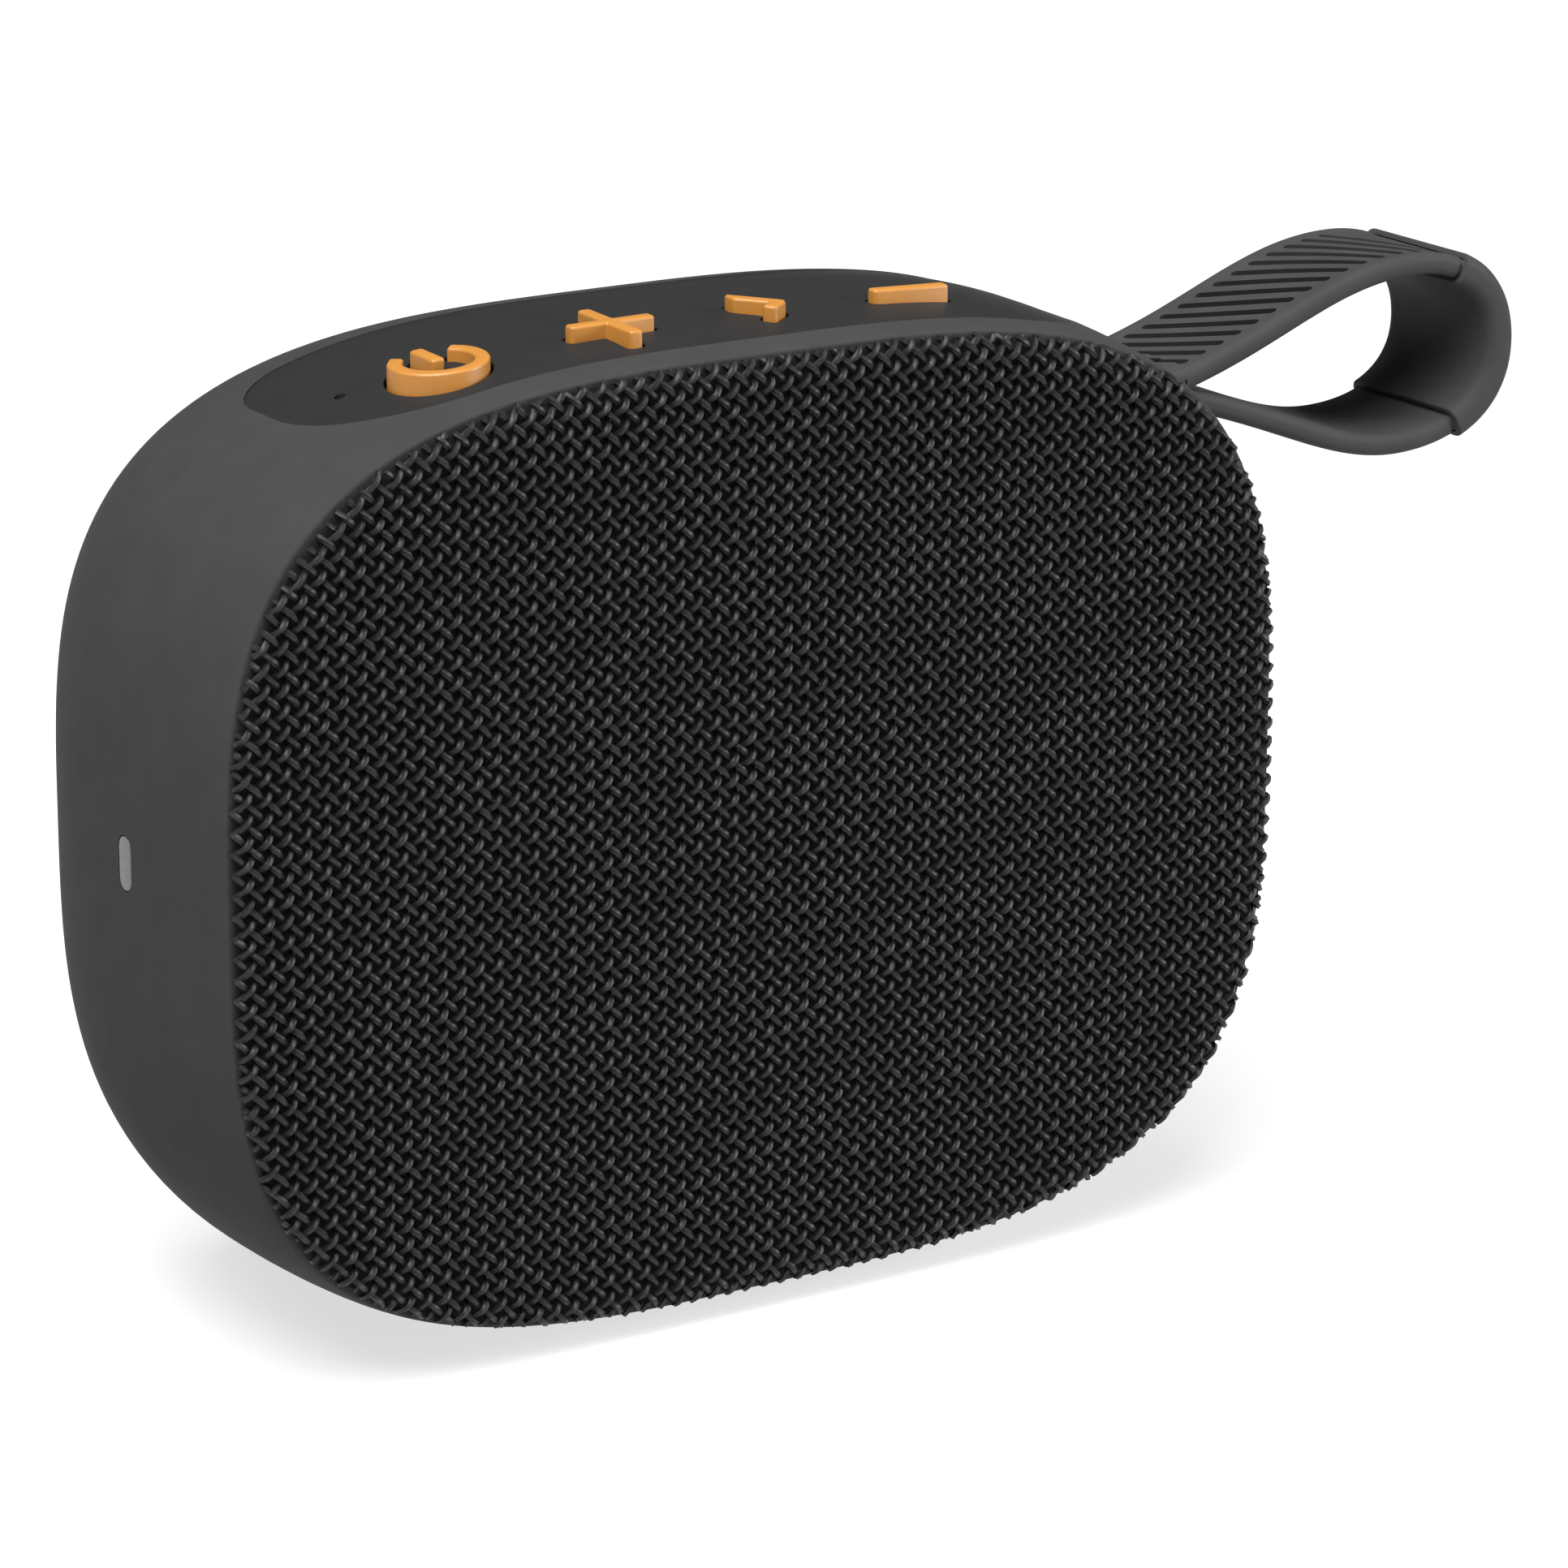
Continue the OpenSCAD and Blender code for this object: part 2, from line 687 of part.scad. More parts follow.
module driver_screws() {
    color(steel) at_body() {
        along_y(driver_y + 1.2, driver_y + 2.2) translate([driver_x, 0]) driver_screw_points() circle(1.6);
        along_y(3, driver_y + 1.2 + eps) translate([driver_x, 0]) driver_screw_points() circle(0.9);
    }
}

module driver_terminals() {
    color(copper) at_body() for (z = [2.8, 5.2])
        box([[driver_x + 19.3, 13, z - 0.5], [driver_x + 20.6, 15, z + 0.5]]);
}

// ---- Passive radiator ----

module radiator_frame() {
    color(inner_black) at_body() turned_y(radiator_x, baffle_back_y) translate([18.6, 0]) square([4.4, 1.2]);
}

module radiator_surround() {
    color(inner_black) at_body() turned_y(radiator_x, baffle_back_y) roll_profile(14.2, 17.1, 1.7, 19.5);
}

module radiator_plate() {
    color([0.3, 0.3, 0.3]) at_body() turned_y(radiator_x, baffle_back_y) square([15.2, 2.5]);
}

module radiator_weight() {
    color(steel) at_body() turned_y(radiator_x, baffle_back_y) translate([0, 2.5]) square([8, 1.5]);
}

// ---- Electronics and battery ----

module main_board() {
    color(board_green) at_body() difference() {
        box(board_box);
        for (p = board_posts) rod_y(1.1, 30, 40, p);
    }
}

module board_screws() {
    y = board_box[0].y;
    color(steel) at_body() for (p = board_posts) {
        rod_y(1.8, y - 1.2, y, p);
        rod_y(board_screw_r, y - eps, board_screw_end_y, p);
    }
}

module usb_socket() {
    color(steel) at_body() {
        along_y(board_box[1].y, 41) translate([0, port_z]) difference() {
            stadium([8.94, 3.26]);
            stadium([8.34, 2.56]);
        }
        along_y(board_box[1].y, 40.4) translate([0, port_z]) square([6.7, 0.7], center = true);
        along_y(board_box[1].y, board_box[1].y + 0.8) translate([0, port_z]) stadium([8.94, 3.26]);
    }
}

// Places a package of width w, height h and thickness t on the main board's front.
module on_board(x, z, w, h, t) {
    box([[x - w / 2, board_box[0].y - t, z - h / 2], [x + w / 2, board_box[0].y, z + h / 2]]);
}

module board_chips() {
    color(inner_black) at_body() {
        on_board(-6, -6, 6, 6, 0.9);
        on_board(6, 2, 5, 5, 0.9);
        on_board(0, -20, 4, 5, 0.9);
        on_board(-15, 24, 12, 4, 1.4);
    }
}

module radio_module() {
    color(steel) at_body() on_board(-28, -4, 13, 17, 2);
}

module board_capacitors() {
    y = board_box[0].y;
    color([0.2, 0.25, 0.4]) at_body() for (x = [-20, -13, -6]) rod_y(2.5, y - 6, y, [x, -22]);
}

module speaker_connector() {
    color([0.9, 0.9, 0.86]) at_body() on_board(-4.3, 20, 6, 5, 4.6);
}

module battery_connector() {
    color([0.9, 0.9, 0.86]) at_body() on_board(14.2, 11, 6, 5, 4.6);
}

module battery_cell() {
    color([0.2, 0.35, 0.6]) at_body() translate([cell_pos.x, cell_pos.y, cell_low_z]) {
        cylinder(r = cell_r, h = cell_h - cell_tip_h);
        cylinder(r = cell_tip_r, h = cell_h);
    }
}

module battery_bracket() {
    outer_r = cell_r + bracket_clear + bracket_t;
    color(inner_black) at_body() translate([cell_pos.x, cell_pos.y, -bracket_l / 2])
        linear_extrude(bracket_l) {
            difference() {
                circle(outer_r);
                circle(cell_r + bracket_clear);
                translate([-2 * outer_r, -5 - 2 * outer_r]) square([4 * outer_r, 2 * outer_r]);
            }
            translate([-1.2, outer_r - 0.6]) square([2.4, inner_back_y - cell_pos.y - outer_r + 0.6]);
        }
}

// A round wire through points, with a ball at each bend.
module wire(points, r) {
    for (i = [0 : len(points) - 2]) {
        d = points[i + 1] - points[i];
        translate(points[i]) rotate([0, acos(d.z / norm(d)), atan2(d.y, d.x)])
            cylinder(r = r, h = norm(d), $fn = 16);
    }
    for (i = [1 : len(points) - 2]) translate(points[i]) sphere(r, $fn = 16);
}

module speaker_wires() {
    x = driver_x + 21.2;
    color([0.6, 0.1, 0.1]) at_body() for (lead = [[2.8, 31.2], [5.2, 29.6]])
        wire([[x, 13.4, lead[0]], [x, lead[1], lead[0]], [x, lead[1], 17.4]], wire_r);
}

module battery_wires() {
    z = cell_h / 2 + 0.7;
    color([0.6, 0.1, 0.1]) at_body() for (lead = [[13, 20], [15.4, 23]])
        wire([[cell_pos.x - 1, lead[1], z], [lead[0], lead[1], z], [lead[0], 30.8, z],
            [lead[0], 30.8, 13.6]], wire_r);
}

// A flat flex cable from the key board's back edge down to its socket.
module key_ribbon() {
    back_y = 32.3;
    color([0.8, 0.6, 0.3]) at_body() translate([-19, 0, 0]) {
        translate([0, key_board_y[1], 31.8]) cube([8, back_y - key_board_y[1], 0.3]);
        translate([0, back_y - 0.3, 26]) cube([8, 0.3, 6.1]);
    }
}

// ---- Port cover ----

module port_cover() {
    plate_low = port_z - cover_size.y / 2;
    color(silicone_grey) at_body() {
        along_y(body_d - cover_pocket_t + 0.05, body_d - 0.02) translate([0, (plate_low + cover_axis_z) / 2])
            square([cover_size.x, cover_axis_z - plate_low], center = true);
        translate([-cover_size.x / 2, cover_axis_y, cover_axis_z]) rotate([0, 90, 0])
            cylinder(r = cover_bead_r, h = cover_size.x);
        along_y(body_d - cover_pocket_t - 0.8, body_d - 1) translate([0, port_z]) stadium([8, 2.6]);
    }
}

// ---- Finger loop ----

function bezier(p, t) = pow(1 - t, 3) * p[0] + 3 * pow(1 - t, 2) * t * p[1]
    + 3 * (1 - t) * t * t * p[2] + pow(t, 3) * p[3];

// The band's middle line in X and Z: up the top leg, round the bend and back along the lower leg.
loop_curves = [
    [[54, 31.9], [66, 35], [72, 40.2], [82, 40.1]],
    [[82, 40.1], [88.5, 40], [92, 36.5], [92, 31.4]],
    [[92, 31.4], [92, 26], [87.5, 22.7], [80, 22.6]],
    [[80, 22.6], [72.5, 22.5], [66, 27], [54, 30.2]]];

function loop_point(s) = let (k = min(3, floor(s))) bezier(loop_curves[k], s - k);

function loop_normal(s) =
    let (d = loop_point(min(4, s + 0.01)) - loop_point(max(0, s - 0.01)))
    [-d.y, d.x] / norm(d);

// The loop's line from s0 to s1, moved out by a distance.
function loop_side(s0, s1, out, steps) = [for (i = [0 : steps])
    let (s = s0 + (s1 - s0) * i / steps)
    loop_point(s) + out * loop_normal(s)];

module ribbon(s0, s1, low, high, steps) {
    polygon(concat(loop_side(s0, s1, high, steps), loop_side(s1, s0, low, steps)));
}

// The loop, its neck and the round bulb on the pin, less the finger hole between the legs.
module loop_shape() {
    parting = 0.06;
    neck_ang = asin(neck_h / 2 / bulb_r);
    difference() {
        polygon(concat(
            loop_side(0, 4, strap_t / 2, 64),
            arc(pin_pos.x, pin_pos.y, bulb_r, 360 - neck_ang, neck_ang, 24)));
        polygon(loop_side(parting, 4 - parting, -strap_t / 2, 62));
    }
}

// Slanted slots in the top leg's outer face, from the root to the sleeve.
module strap_slots() {
    depth_side = strap_t / 2 - slot_depth;
    intersection() {
        along_y(strap_y - slot_span / 2, strap_y + slot_span / 2) polygon(concat(
            [[slot_root.x, slot_root.y + 3], slot_root],
            loop_side(0, 1.28, depth_side, 24), loop_side(1.28, 0, depth_side + 2, 24)));
        for (i = [0 : slot_count - 1]) translate([slot_first_x + slot_pitch * i, strap_y, 25])
            rotate(slot_lean) translate([-slot_w / 2, -slot_span, 0]) cube([slot_w, 2 * slot_span, 20]);
    }
}

module strap_band() {
    color(silicone_grey) at_body() difference() {
        along_y(strap_y - strap_w / 2, strap_y + strap_w / 2) loop_shape();
        rod_y(pin_r + 0.05, strap_y - strap_w, strap_y + strap_w, pin_pos);
        strap_slots();
    }
}

module strap_sleeve() {
    half_w = (strap_w + sleeve_t - strap_t) / 2;
    color(silicone_grey) at_body() difference() {
        along_y(strap_y - half_w, strap_y + half_w) ribbon(1.3, 2.65, -sleeve_t / 2, sleeve_t / 2, 28);
        along_y(strap_y - strap_w / 2, strap_y + strap_w / 2) loop_shape();
    }
}

module strap_pin() {
    color(steel) at_body() rod_y(pin_r, anchor_box[0].y + 0.3, anchor_box[1].y - 0.5, pin_pos);
}

rear_shell();
control_panel();
power_button();
volume_up_button();
play_button();
volume_down_button();
power_plunger();
volume_up_plunger();
play_plunger();
volume_down_plunger();
grille_fabric();
grille_frame();
side_mark();
foot_pad();
port_cover();
strap_band();
strap_sleeve();
strap_pin();
tact_switches();
button_seal();
key_board();
key_board_screws();
microphone();
front_baffle();
baffle_gasket();
baffle_screws();
driver_basket();
driver_surround();
driver_cone();
driver_dust_cap();
driver_voice_coil();
driver_spider();
driver_top_plate();
driver_magnet();
driver_yoke();
driver_gasket();
driver_screws();
driver_terminals();
radiator_frame();
radiator_surround();
radiator_plate();
radiator_weight();
main_board();
board_screws();
usb_socket();
board_chips();
radio_module();
board_capacitors();
speaker_connector();
battery_connector();
battery_cell();
battery_bracket();
speaker_wires();
battery_wires();
key_ribbon();
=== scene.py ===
"""Looks for a shower speaker: shell, keys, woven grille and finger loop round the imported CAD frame.

Lengths below are in millimetres in body coordinates, x to the right, y back from the fabric's seam and z up
from mid-height, and to_row() turns them into the frame's metres.
"""

import json
import math

import bmesh
import bpy
import numpy as np
from mathutils import Matrix, Vector


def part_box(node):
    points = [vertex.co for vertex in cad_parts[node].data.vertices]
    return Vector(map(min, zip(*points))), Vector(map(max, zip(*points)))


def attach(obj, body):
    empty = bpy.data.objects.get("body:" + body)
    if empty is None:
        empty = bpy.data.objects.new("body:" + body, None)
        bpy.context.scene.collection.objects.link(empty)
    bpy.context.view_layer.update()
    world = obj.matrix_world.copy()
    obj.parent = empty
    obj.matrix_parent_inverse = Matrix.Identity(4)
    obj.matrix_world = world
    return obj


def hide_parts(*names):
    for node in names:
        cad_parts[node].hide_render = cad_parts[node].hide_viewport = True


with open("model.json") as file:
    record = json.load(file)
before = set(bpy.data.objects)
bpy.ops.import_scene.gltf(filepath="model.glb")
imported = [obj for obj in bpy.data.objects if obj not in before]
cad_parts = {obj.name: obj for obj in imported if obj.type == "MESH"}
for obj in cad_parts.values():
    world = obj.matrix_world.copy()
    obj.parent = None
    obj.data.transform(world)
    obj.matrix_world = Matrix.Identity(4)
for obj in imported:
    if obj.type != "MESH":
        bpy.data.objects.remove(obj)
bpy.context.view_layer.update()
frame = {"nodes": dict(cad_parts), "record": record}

MM = 0.001

# ---- Sizes from the frame ----

fabric_low, fabric_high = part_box("grille_fabric")
shell_low, shell_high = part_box("rear_shell")
frame_low, frame_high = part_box("grille_frame")
FABRIC_EDGE = 0.25
SEAM_Y = fabric_high.y - FABRIC_EDGE * MM
MID_Z = (fabric_low.z + fabric_high.z) / 2
HALF_W = (fabric_high.x - fabric_low.x) / 2 / MM
HALF_H = (fabric_high.z - fabric_low.z) / 2 / MM
BULGE = (shell_high.x - shell_low.x) / 2 / MM - HALF_W
DEPTH = (shell_high.y - SEAM_Y) / MM
DOME = (SEAM_Y - fabric_low.y) / MM
FRAME_FRONT = (frame_low.y - SEAM_Y) / MM

POWER = 3.25
WIDEST = 19.6
FRONT_ROUND = 0.6
BACK_ROUND = 10.2
WALL = 2.6
SEAM_GAP = 0.35
# How far a cutter reaches past what it cuts.
OVERCUT = 1


def body_box(node):
    """A CAD node's low and high corners in body coordinates, as two lists of x, y, z."""
    low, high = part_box(node)
    shift = Vector((0, SEAM_Y, MID_Z))
    return [list((c - shift) / MM) for c in (low, high)]


def middle(node, axis):
    low, high = body_box(node)
    return (low[axis] + high[axis]) / 2


def to_row(points):
    points = np.asarray(points, float).reshape(-1, 3)
    return points * MM + np.array([0, SEAM_Y, MID_Z])


# The loop's root, which the shell's pocket follows.
PIN = (46.5, 31.2)
BULB_R = 3
STRAP_W = 15.5
STRAP_T = 2.1
STRAP_Y = middle("strap_band", 1)
NECK_H = 2 * STRAP_T
SWING_DOWN = 25
SWING_UP = 20


# ---- Form of the body ----

def swell(y):
    """How much the outline has grown at a distance behind the seam."""
    if y < WIDEST:
        return BULGE * math.sin(math.pi / 2 * max(0, y) / WIDEST) ** FRONT_ROUND
    share = (y - WIDEST) / (DEPTH - WIDEST)
    return BULGE - BACK_ROUND * (1 - math.sqrt(max(0, 1 - share * share)))


def outline(grow, count):
    """The face outline in x and z, grown by a distance."""
    ang = 2 * math.pi * (np.arange(count) + 0.5) / count
    a, b = HALF_W + grow, HALF_H + grow
    reach = (np.abs(np.cos(ang) / a) ** POWER + np.abs(np.sin(ang) / b) ** POWER) ** (-1 / POWER)
    return np.stack([reach * np.cos(ang), reach * np.sin(ang)], 1)


def top_z(x, y, drop=0.0):
    """Height of the shell's top at x and y, some depth below its surface."""
    a, b = HALF_W + swell(y) - drop, HALF_H + swell(y) - drop
    return b * (1 - abs(x / a) ** POWER) ** (1 / POWER)


def body_normal(p):
    """The outward normal of the shell's surface at a point near it."""
    x, y, z = p
    grow = swell(y)
    rise = (swell(y + 0.05) - swell(y - 0.05)) / 0.1
    a, b = HALF_W + grow, HALF_H + grow
    across = abs(x / a) ** POWER / a
    up = abs(z / b) ** POWER / b
    n = Vector((
        math.copysign(abs(x / a) ** (POWER - 1) / a, x),
        -rise * (across + up),
        math.copysign(abs(z / b) ** (POWER - 1) / b, z),
    ))
    return n.normalized()


# ---- Flat outlines ----

def arc(cx, cy, r, start, end, steps=12):
    ang = np.radians(np.linspace(start, end, steps + 1))
    return [(cx + r * math.cos(t), cy + r * math.sin(t)) for t in ang]


def circle(r, steps):
    return arc(0, 0, r, 0, 360, steps)[:-1]


def rounded(points, radii, steps=5):
    """A closed outline with its corners rounded: one radius for all, or one for each corner."""
    points = [Vector(p) for p in points]
    radii = [radii] * len(points) if isinstance(radii, (int, float)) else radii
    out = []
    for i, p in enumerate(points):
        if radii[i] <= 0:
            out.append(tuple(p))
            continue
        a = (points[i - 1] - p).normalized()
        b = (points[(i + 1) % len(points)] - p).normalized()
        half = a.angle(b) / 2
        centre = p + (a + b).normalized() * radii[i] / math.sin(half)
        start = p + a * radii[i] / math.tan(half) - centre
        end = p + b * radii[i] / math.tan(half) - centre
        turn = start.angle_signed(end)
        for k in range(steps + 1):
            spin = Matrix.Rotation(-turn * k / steps, 2)
            out.append(tuple(centre + spin @ start))
    return out


def stadium(length, height, steps=12):
    run, r = (length - height) / 2, height / 2
    return arc(run, 0, r, -90, 90, steps) + arc(-run, 0, r, 90, 270, steps)


def inset(points, distance):
    """A counter-clockwise outline moved in by a distance, point for point."""
    p = np.asarray(points, float)
    before = p - np.roll(p, 1, 0)
    after = np.roll(p, -1, 0) - p
    before /= np.linalg.norm(before, axis=1)[:, None]
    after /= np.linalg.norm(after, axis=1)[:, None]
    normal = np.stack([-before[:, 1] - after[:, 1], before[:, 0] + after[:, 0]], 1)
    normal /= np.linalg.norm(normal, axis=1)[:, None]
    side = np.stack([-after[:, 1], after[:, 0]], 1)
    return p + distance * normal / np.maximum((normal * side).sum(1), 0.5)[:, None]


def edge_steps(bevel, steps=4):
    """(inset, drop) pairs that round an edge, from its side to its face."""
    ang = [math.pi / 2 * k / steps for k in range(steps + 1)]
    return [(bevel * (1 - math.cos(t)), bevel * (1 - math.sin(t))) for t in ang]


# ---- Meshes ----

def linked_object(name, points, faces):
    mesh = bpy.data.meshes.new(name)
    mesh.from_pydata(points, [], faces)
    obj = bpy.data.objects.new(name, mesh)
    bpy.context.scene.collection.objects.link(obj)
    return obj


def mesh_object(name, points, faces):
    """A smooth-shaded object from body coordinates, faces outward, with sharp edges kept."""
    obj = linked_object(name, to_row(points).tolist(), faces)
    form = bmesh.new()
    form.from_mesh(obj.data)
    bmesh.ops.recalc_face_normals(form, faces=form.faces)
    form.to_mesh(obj.data)
    form.free()
    smooth(obj)
    return obj


def smooth(obj, angle=35):
    obj.data.polygons.foreach_set("use_smooth", [True] * len(obj.data.polygons))
    obj.data.set_sharp_from_angle(angle=math.radians(angle))
    obj.data.update()


def rings_faces(ring_count, size, capped=True, closed=False):
    """Faces through rings of points: sides between rings, and caps on the first and last."""
    faces = []
    for k in range(ring_count if closed else ring_count - 1):
        low, high = k * size, (k + 1) % ring_count * size
        for i in range(size):
            j = (i + 1) % size
            faces.append((low + i, low + j, high + j, high + i))
    if capped and not closed:
        faces.append(tuple(range(size - 1, -1, -1)))
        faces.append(tuple((ring_count - 1) * size + i for i in range(size)))
    return faces


def lofted(name, rings, closed=False):
    points = np.concatenate([np.asarray(r, float) for r in rings])
    return mesh_object(name, points, rings_faces(len(rings), len(rings[0]), closed=closed))


def standing(points, z):
    """A flat outline in x and y, at a height that may depend on both."""
    return [(x, y, z(x, y) if callable(z) else z) for x, y in points]


def upright(points, y):
    """A flat outline in x and z, at a depth."""
    return [(x, y, z) for x, z in points]


def column(name, points, low, high, bevel=0.0, low_bevel=0.0):
    """An upright solid on an outline in x and y, with rounded edges."""
    rings = []
    if low_bevel:
        for cut_in, drop in reversed(edge_steps(low_bevel)):
            rings.append(standing(inset(points, cut_in), low + drop))
    else:
        rings.append(standing(points, low))
    if not bevel:
        rings.append(standing(points, high))
    for cut_in, drop in edge_steps(bevel) if bevel else []:
        ring = inset(points, cut_in)
        level = (lambda x, y, d=drop: high(x, y) - d) if callable(high) else high - drop
        rings.append(standing(ring, level))
    return lofted(name, rings)


def rod_along_y(name, points, front, back, bevel=0.0):
    """A solid on an outline in x and z between two depths, with rounded edges."""
    steps = edge_steps(bevel) if bevel else [(0, 0)]
    shapes = [(inset(points, cut_in) if cut_in else points, drop) for cut_in, drop in steps]
    rings = [upright(shape, back - drop) for shape, drop in reversed(shapes)]
    rings += [upright(shape, front + drop) for shape, drop in shapes]
    return lofted(name, rings)


def joined(name, objects):
    """One object from several, keeping each one's faces."""
    points, faces = [], []
    for obj in objects:
        base = len(points)
        points += [tuple(v.co) for v in obj.data.vertices]
        faces += [tuple(base + v for v in f.vertices) for f in obj.data.polygons]
        bpy.data.objects.remove(obj)
    whole = linked_object(name, points, faces)
    smooth(whole)
    return whole


def combined(obj, other, operation):
    """obj after a boolean with another solid, which is used up."""
    modifier = obj.modifiers.new("cut", "BOOLEAN")
    modifier.operation = operation
    modifier.solver = "EXACT"
    modifier.object = other
    evaluated = obj.evaluated_get(bpy.context.evaluated_depsgraph_get())
    made = bpy.data.meshes.new_from_object(evaluated)
    obj.modifiers.clear()
    obj.data = made
    smooth(obj)
    return obj


def cut(obj, cutters):
    """obj less several solids that don't touch each other."""
    tool = joined("cutter", cutters)
    combined(obj, tool, "DIFFERENCE")
    bpy.data.objects.remove(tool)
    return obj


def on_body(face, centre, tolerance):
    """Whether a face lies along the body's outside, clear of the front rim and the flat back."""
    side = max(abs(centre.x) / (HALF_W - WALL / 2), abs(centre.z) / (HALF_H - WALL / 2))
    return (
        side > 0.5
        and 0.9 < centre.y < DEPTH - 0.4
        and face.normal.dot(body_normal(centre)) >= tolerance
    )


def shade_as_body(obj, tolerance=0.93):
    """Gives faces that lie along the body its exact normals, so that cuts leave no shading marks."""
    mesh = obj.data
    normals = [(0.0, 0.0, 0.0)] * len(mesh.loops)
    shift = Vector((0, SEAM_Y, MID_Z))
    exact = {}
    for face in mesh.polygons:
        if not on_body(face, (face.center - shift) / MM, tolerance):
            continue
        for loop in face.loop_indices:
            vertex = mesh.loops[loop].vertex_index
            if vertex not in exact:
                exact[vertex] = tuple(body_normal((mesh.vertices[vertex].co - shift) / MM))
            normals[loop] = exact[vertex]
    mesh.normals_split_custom_set(normals)


# ---- Materials ----

def surface(name, colour, rough, metal=0.0, gloss=0.5, coat=0.0, grain=2.0, mottle=0.12, bump=0.05,
            wear=0.08):
    """A finish with mottled colour, uneven roughness and a fine bump, its grain in marks per mm."""
    material = bpy.data.materials.new(name)
    material.use_nodes = True
    nodes, links = material.node_tree.nodes, material.node_tree.links
    shader = nodes["Principled BSDF"]
    shader.inputs["Metallic"].default_value = metal
    shader.inputs["Specular IOR Level"].default_value = gloss
    shader.inputs["Coat Weight"].default_value = coat
    place = nodes.new("ShaderNodeTexCoord")

    def noise(scale, detail):
        node = nodes.new("ShaderNodeTexNoise")
        node.inputs["Scale"].default_value = scale
        node.inputs["Detail"].default_value = detail
        links.new(place.outputs["Object"], node.inputs["Vector"])
        return node

    fine, broad = noise(grain / MM, 4), noise(grain / MM / 14, 3)
    tint = nodes.new("ShaderNodeMapRange")
    tint.inputs["From Min"].default_value = 0.3
    tint.inputs["From Max"].default_value = 0.7
    tint.inputs["To Min"].default_value = 1 - mottle
    tint.inputs["To Max"].default_value = 1 + mottle
    links.new(broad.outputs["Fac"], tint.inputs["Value"])
    scaled = nodes.new("ShaderNodeVectorMath")
    scaled.operation = "SCALE"
    scaled.inputs[0].default_value = colour
    links.new(tint.outputs["Result"], scaled.inputs["Scale"])
    links.new(scaled.outputs["Vector"], shader.inputs["Base Color"])
    uneven = nodes.new("ShaderNodeMapRange")
    uneven.inputs["From Min"].default_value = 0.25
    uneven.inputs["From Max"].default_value = 0.75
    uneven.inputs["To Min"].default_value = max(0.02, rough - wear)
    uneven.inputs["To Max"].default_value = min(1, rough + wear)
    links.new(fine.outputs["Fac"], uneven.inputs["Value"])
    links.new(uneven.outputs["Result"], shader.inputs["Roughness"])
    relief = nodes.new("ShaderNodeBump")
    relief.inputs["Strength"].default_value = bump
    relief.inputs["Distance"].default_value = 0.1 * MM
    links.new(fine.outputs["Fac"], relief.inputs["Height"])
    links.new(relief.outputs["Normal"], shader.inputs["Normal"])
    return material


LOOKS = {
    "shell_plastic": dict(
        colour=(0.036, 0.0365, 0.0365), rough=0.5, grain=3.5, mottle=0.05, bump=0.16, gloss=0.005,
    ),
    "panel_plastic": dict(
        colour=(0.019, 0.019, 0.0193), rough=0.4, grain=2.5, mottle=0.04, bump=0.04, wear=0.04, gloss=0.03,
    ),
    "key_plastic": dict(colour=(0.38, 0.16, 0.027), rough=0.42, grain=2.5, mottle=0.04, bump=0.08),
    "switch_plastic": dict(colour=(0.02, 0.02, 0.02), rough=0.5),
    "grille_cloth": dict(
        colour=(0.0145, 0.0145, 0.0149), rough=0.42, grain=9, mottle=0.25, bump=0.3, gloss=0.23,
    ),
    "inner_plastic": dict(colour=(0.02, 0.02, 0.021), rough=0.55, bump=0.2),
    "mark_plastic": dict(colour=(0.1, 0.1, 0.104), rough=0.45, bump=0.1, mottle=0.05),
    "silicone": dict(
        colour=(0.042, 0.042, 0.0425), rough=0.45, grain=3, mottle=0.06, bump=0.1, gloss=0.02,
    ),
    "soft_rubber": dict(colour=(0.02, 0.02, 0.02), rough=0.65, bump=0.1),
    "steel": dict(colour=(0.55, 0.55, 0.57), rough=0.3, metal=1, grain=4, mottle=0.08, bump=0.1),
    "circuit_board": dict(colour=(0.015, 0.08, 0.035), rough=0.3, mottle=0.3, grain=1.2, coat=0.3),
    "cone_paper": dict(colour=(0.03, 0.03, 0.03), rough=0.85, grain=5, bump=0.6),
    "coil_copper": dict(colour=(0.72, 0.35, 0.18), rough=0.3, metal=1, bump=0.2),
    "spider_cloth": dict(colour=(0.5, 0.33, 0.12), rough=0.8, grain=6, bump=0.8),
    "ferrite": dict(colour=(0.06, 0.06, 0.065), rough=0.6, grain=3, bump=0.5),
    "radiator_plastic": dict(colour=(0.03, 0.03, 0.03), rough=0.5),
    "chip_plastic": dict(colour=(0.015, 0.015, 0.015), rough=0.4, grain=5, bump=0.3),
    "capacitor_can": dict(colour=(0.12, 0.16, 0.3), rough=0.35, coat=0.2),
    "connector_plastic": dict(colour=(0.75, 0.73, 0.66), rough=0.5, mottle=0.06),
    "cell_can": dict(colour=(0.04, 0.12, 0.35), rough=0.35, mottle=0.06, coat=0.2),
    "wire_jacket": dict(colour=(0.45, 0.02, 0.02), rough=0.4, mottle=0.08),
    "flex_film": dict(colour=(0.6, 0.33, 0.08), rough=0.3, mottle=0.1, coat=0.3),
    "scrim_cloth": dict(colour=(0.006, 0.006, 0.006), rough=0.9, grain=6, bump=0.8),
}
FINISH = {name: surface(name, **look) for name, look in LOOKS.items()}


def piece(obj, body, slot, *nodes):
    """Dresses a piece, hangs it on its body and lets it stand for CAD nodes."""
    obj.data.materials.clear()
    obj.data.materials.append(FINISH[slot])
    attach(obj, body)
    if nodes:
        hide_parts(*nodes)
    return obj


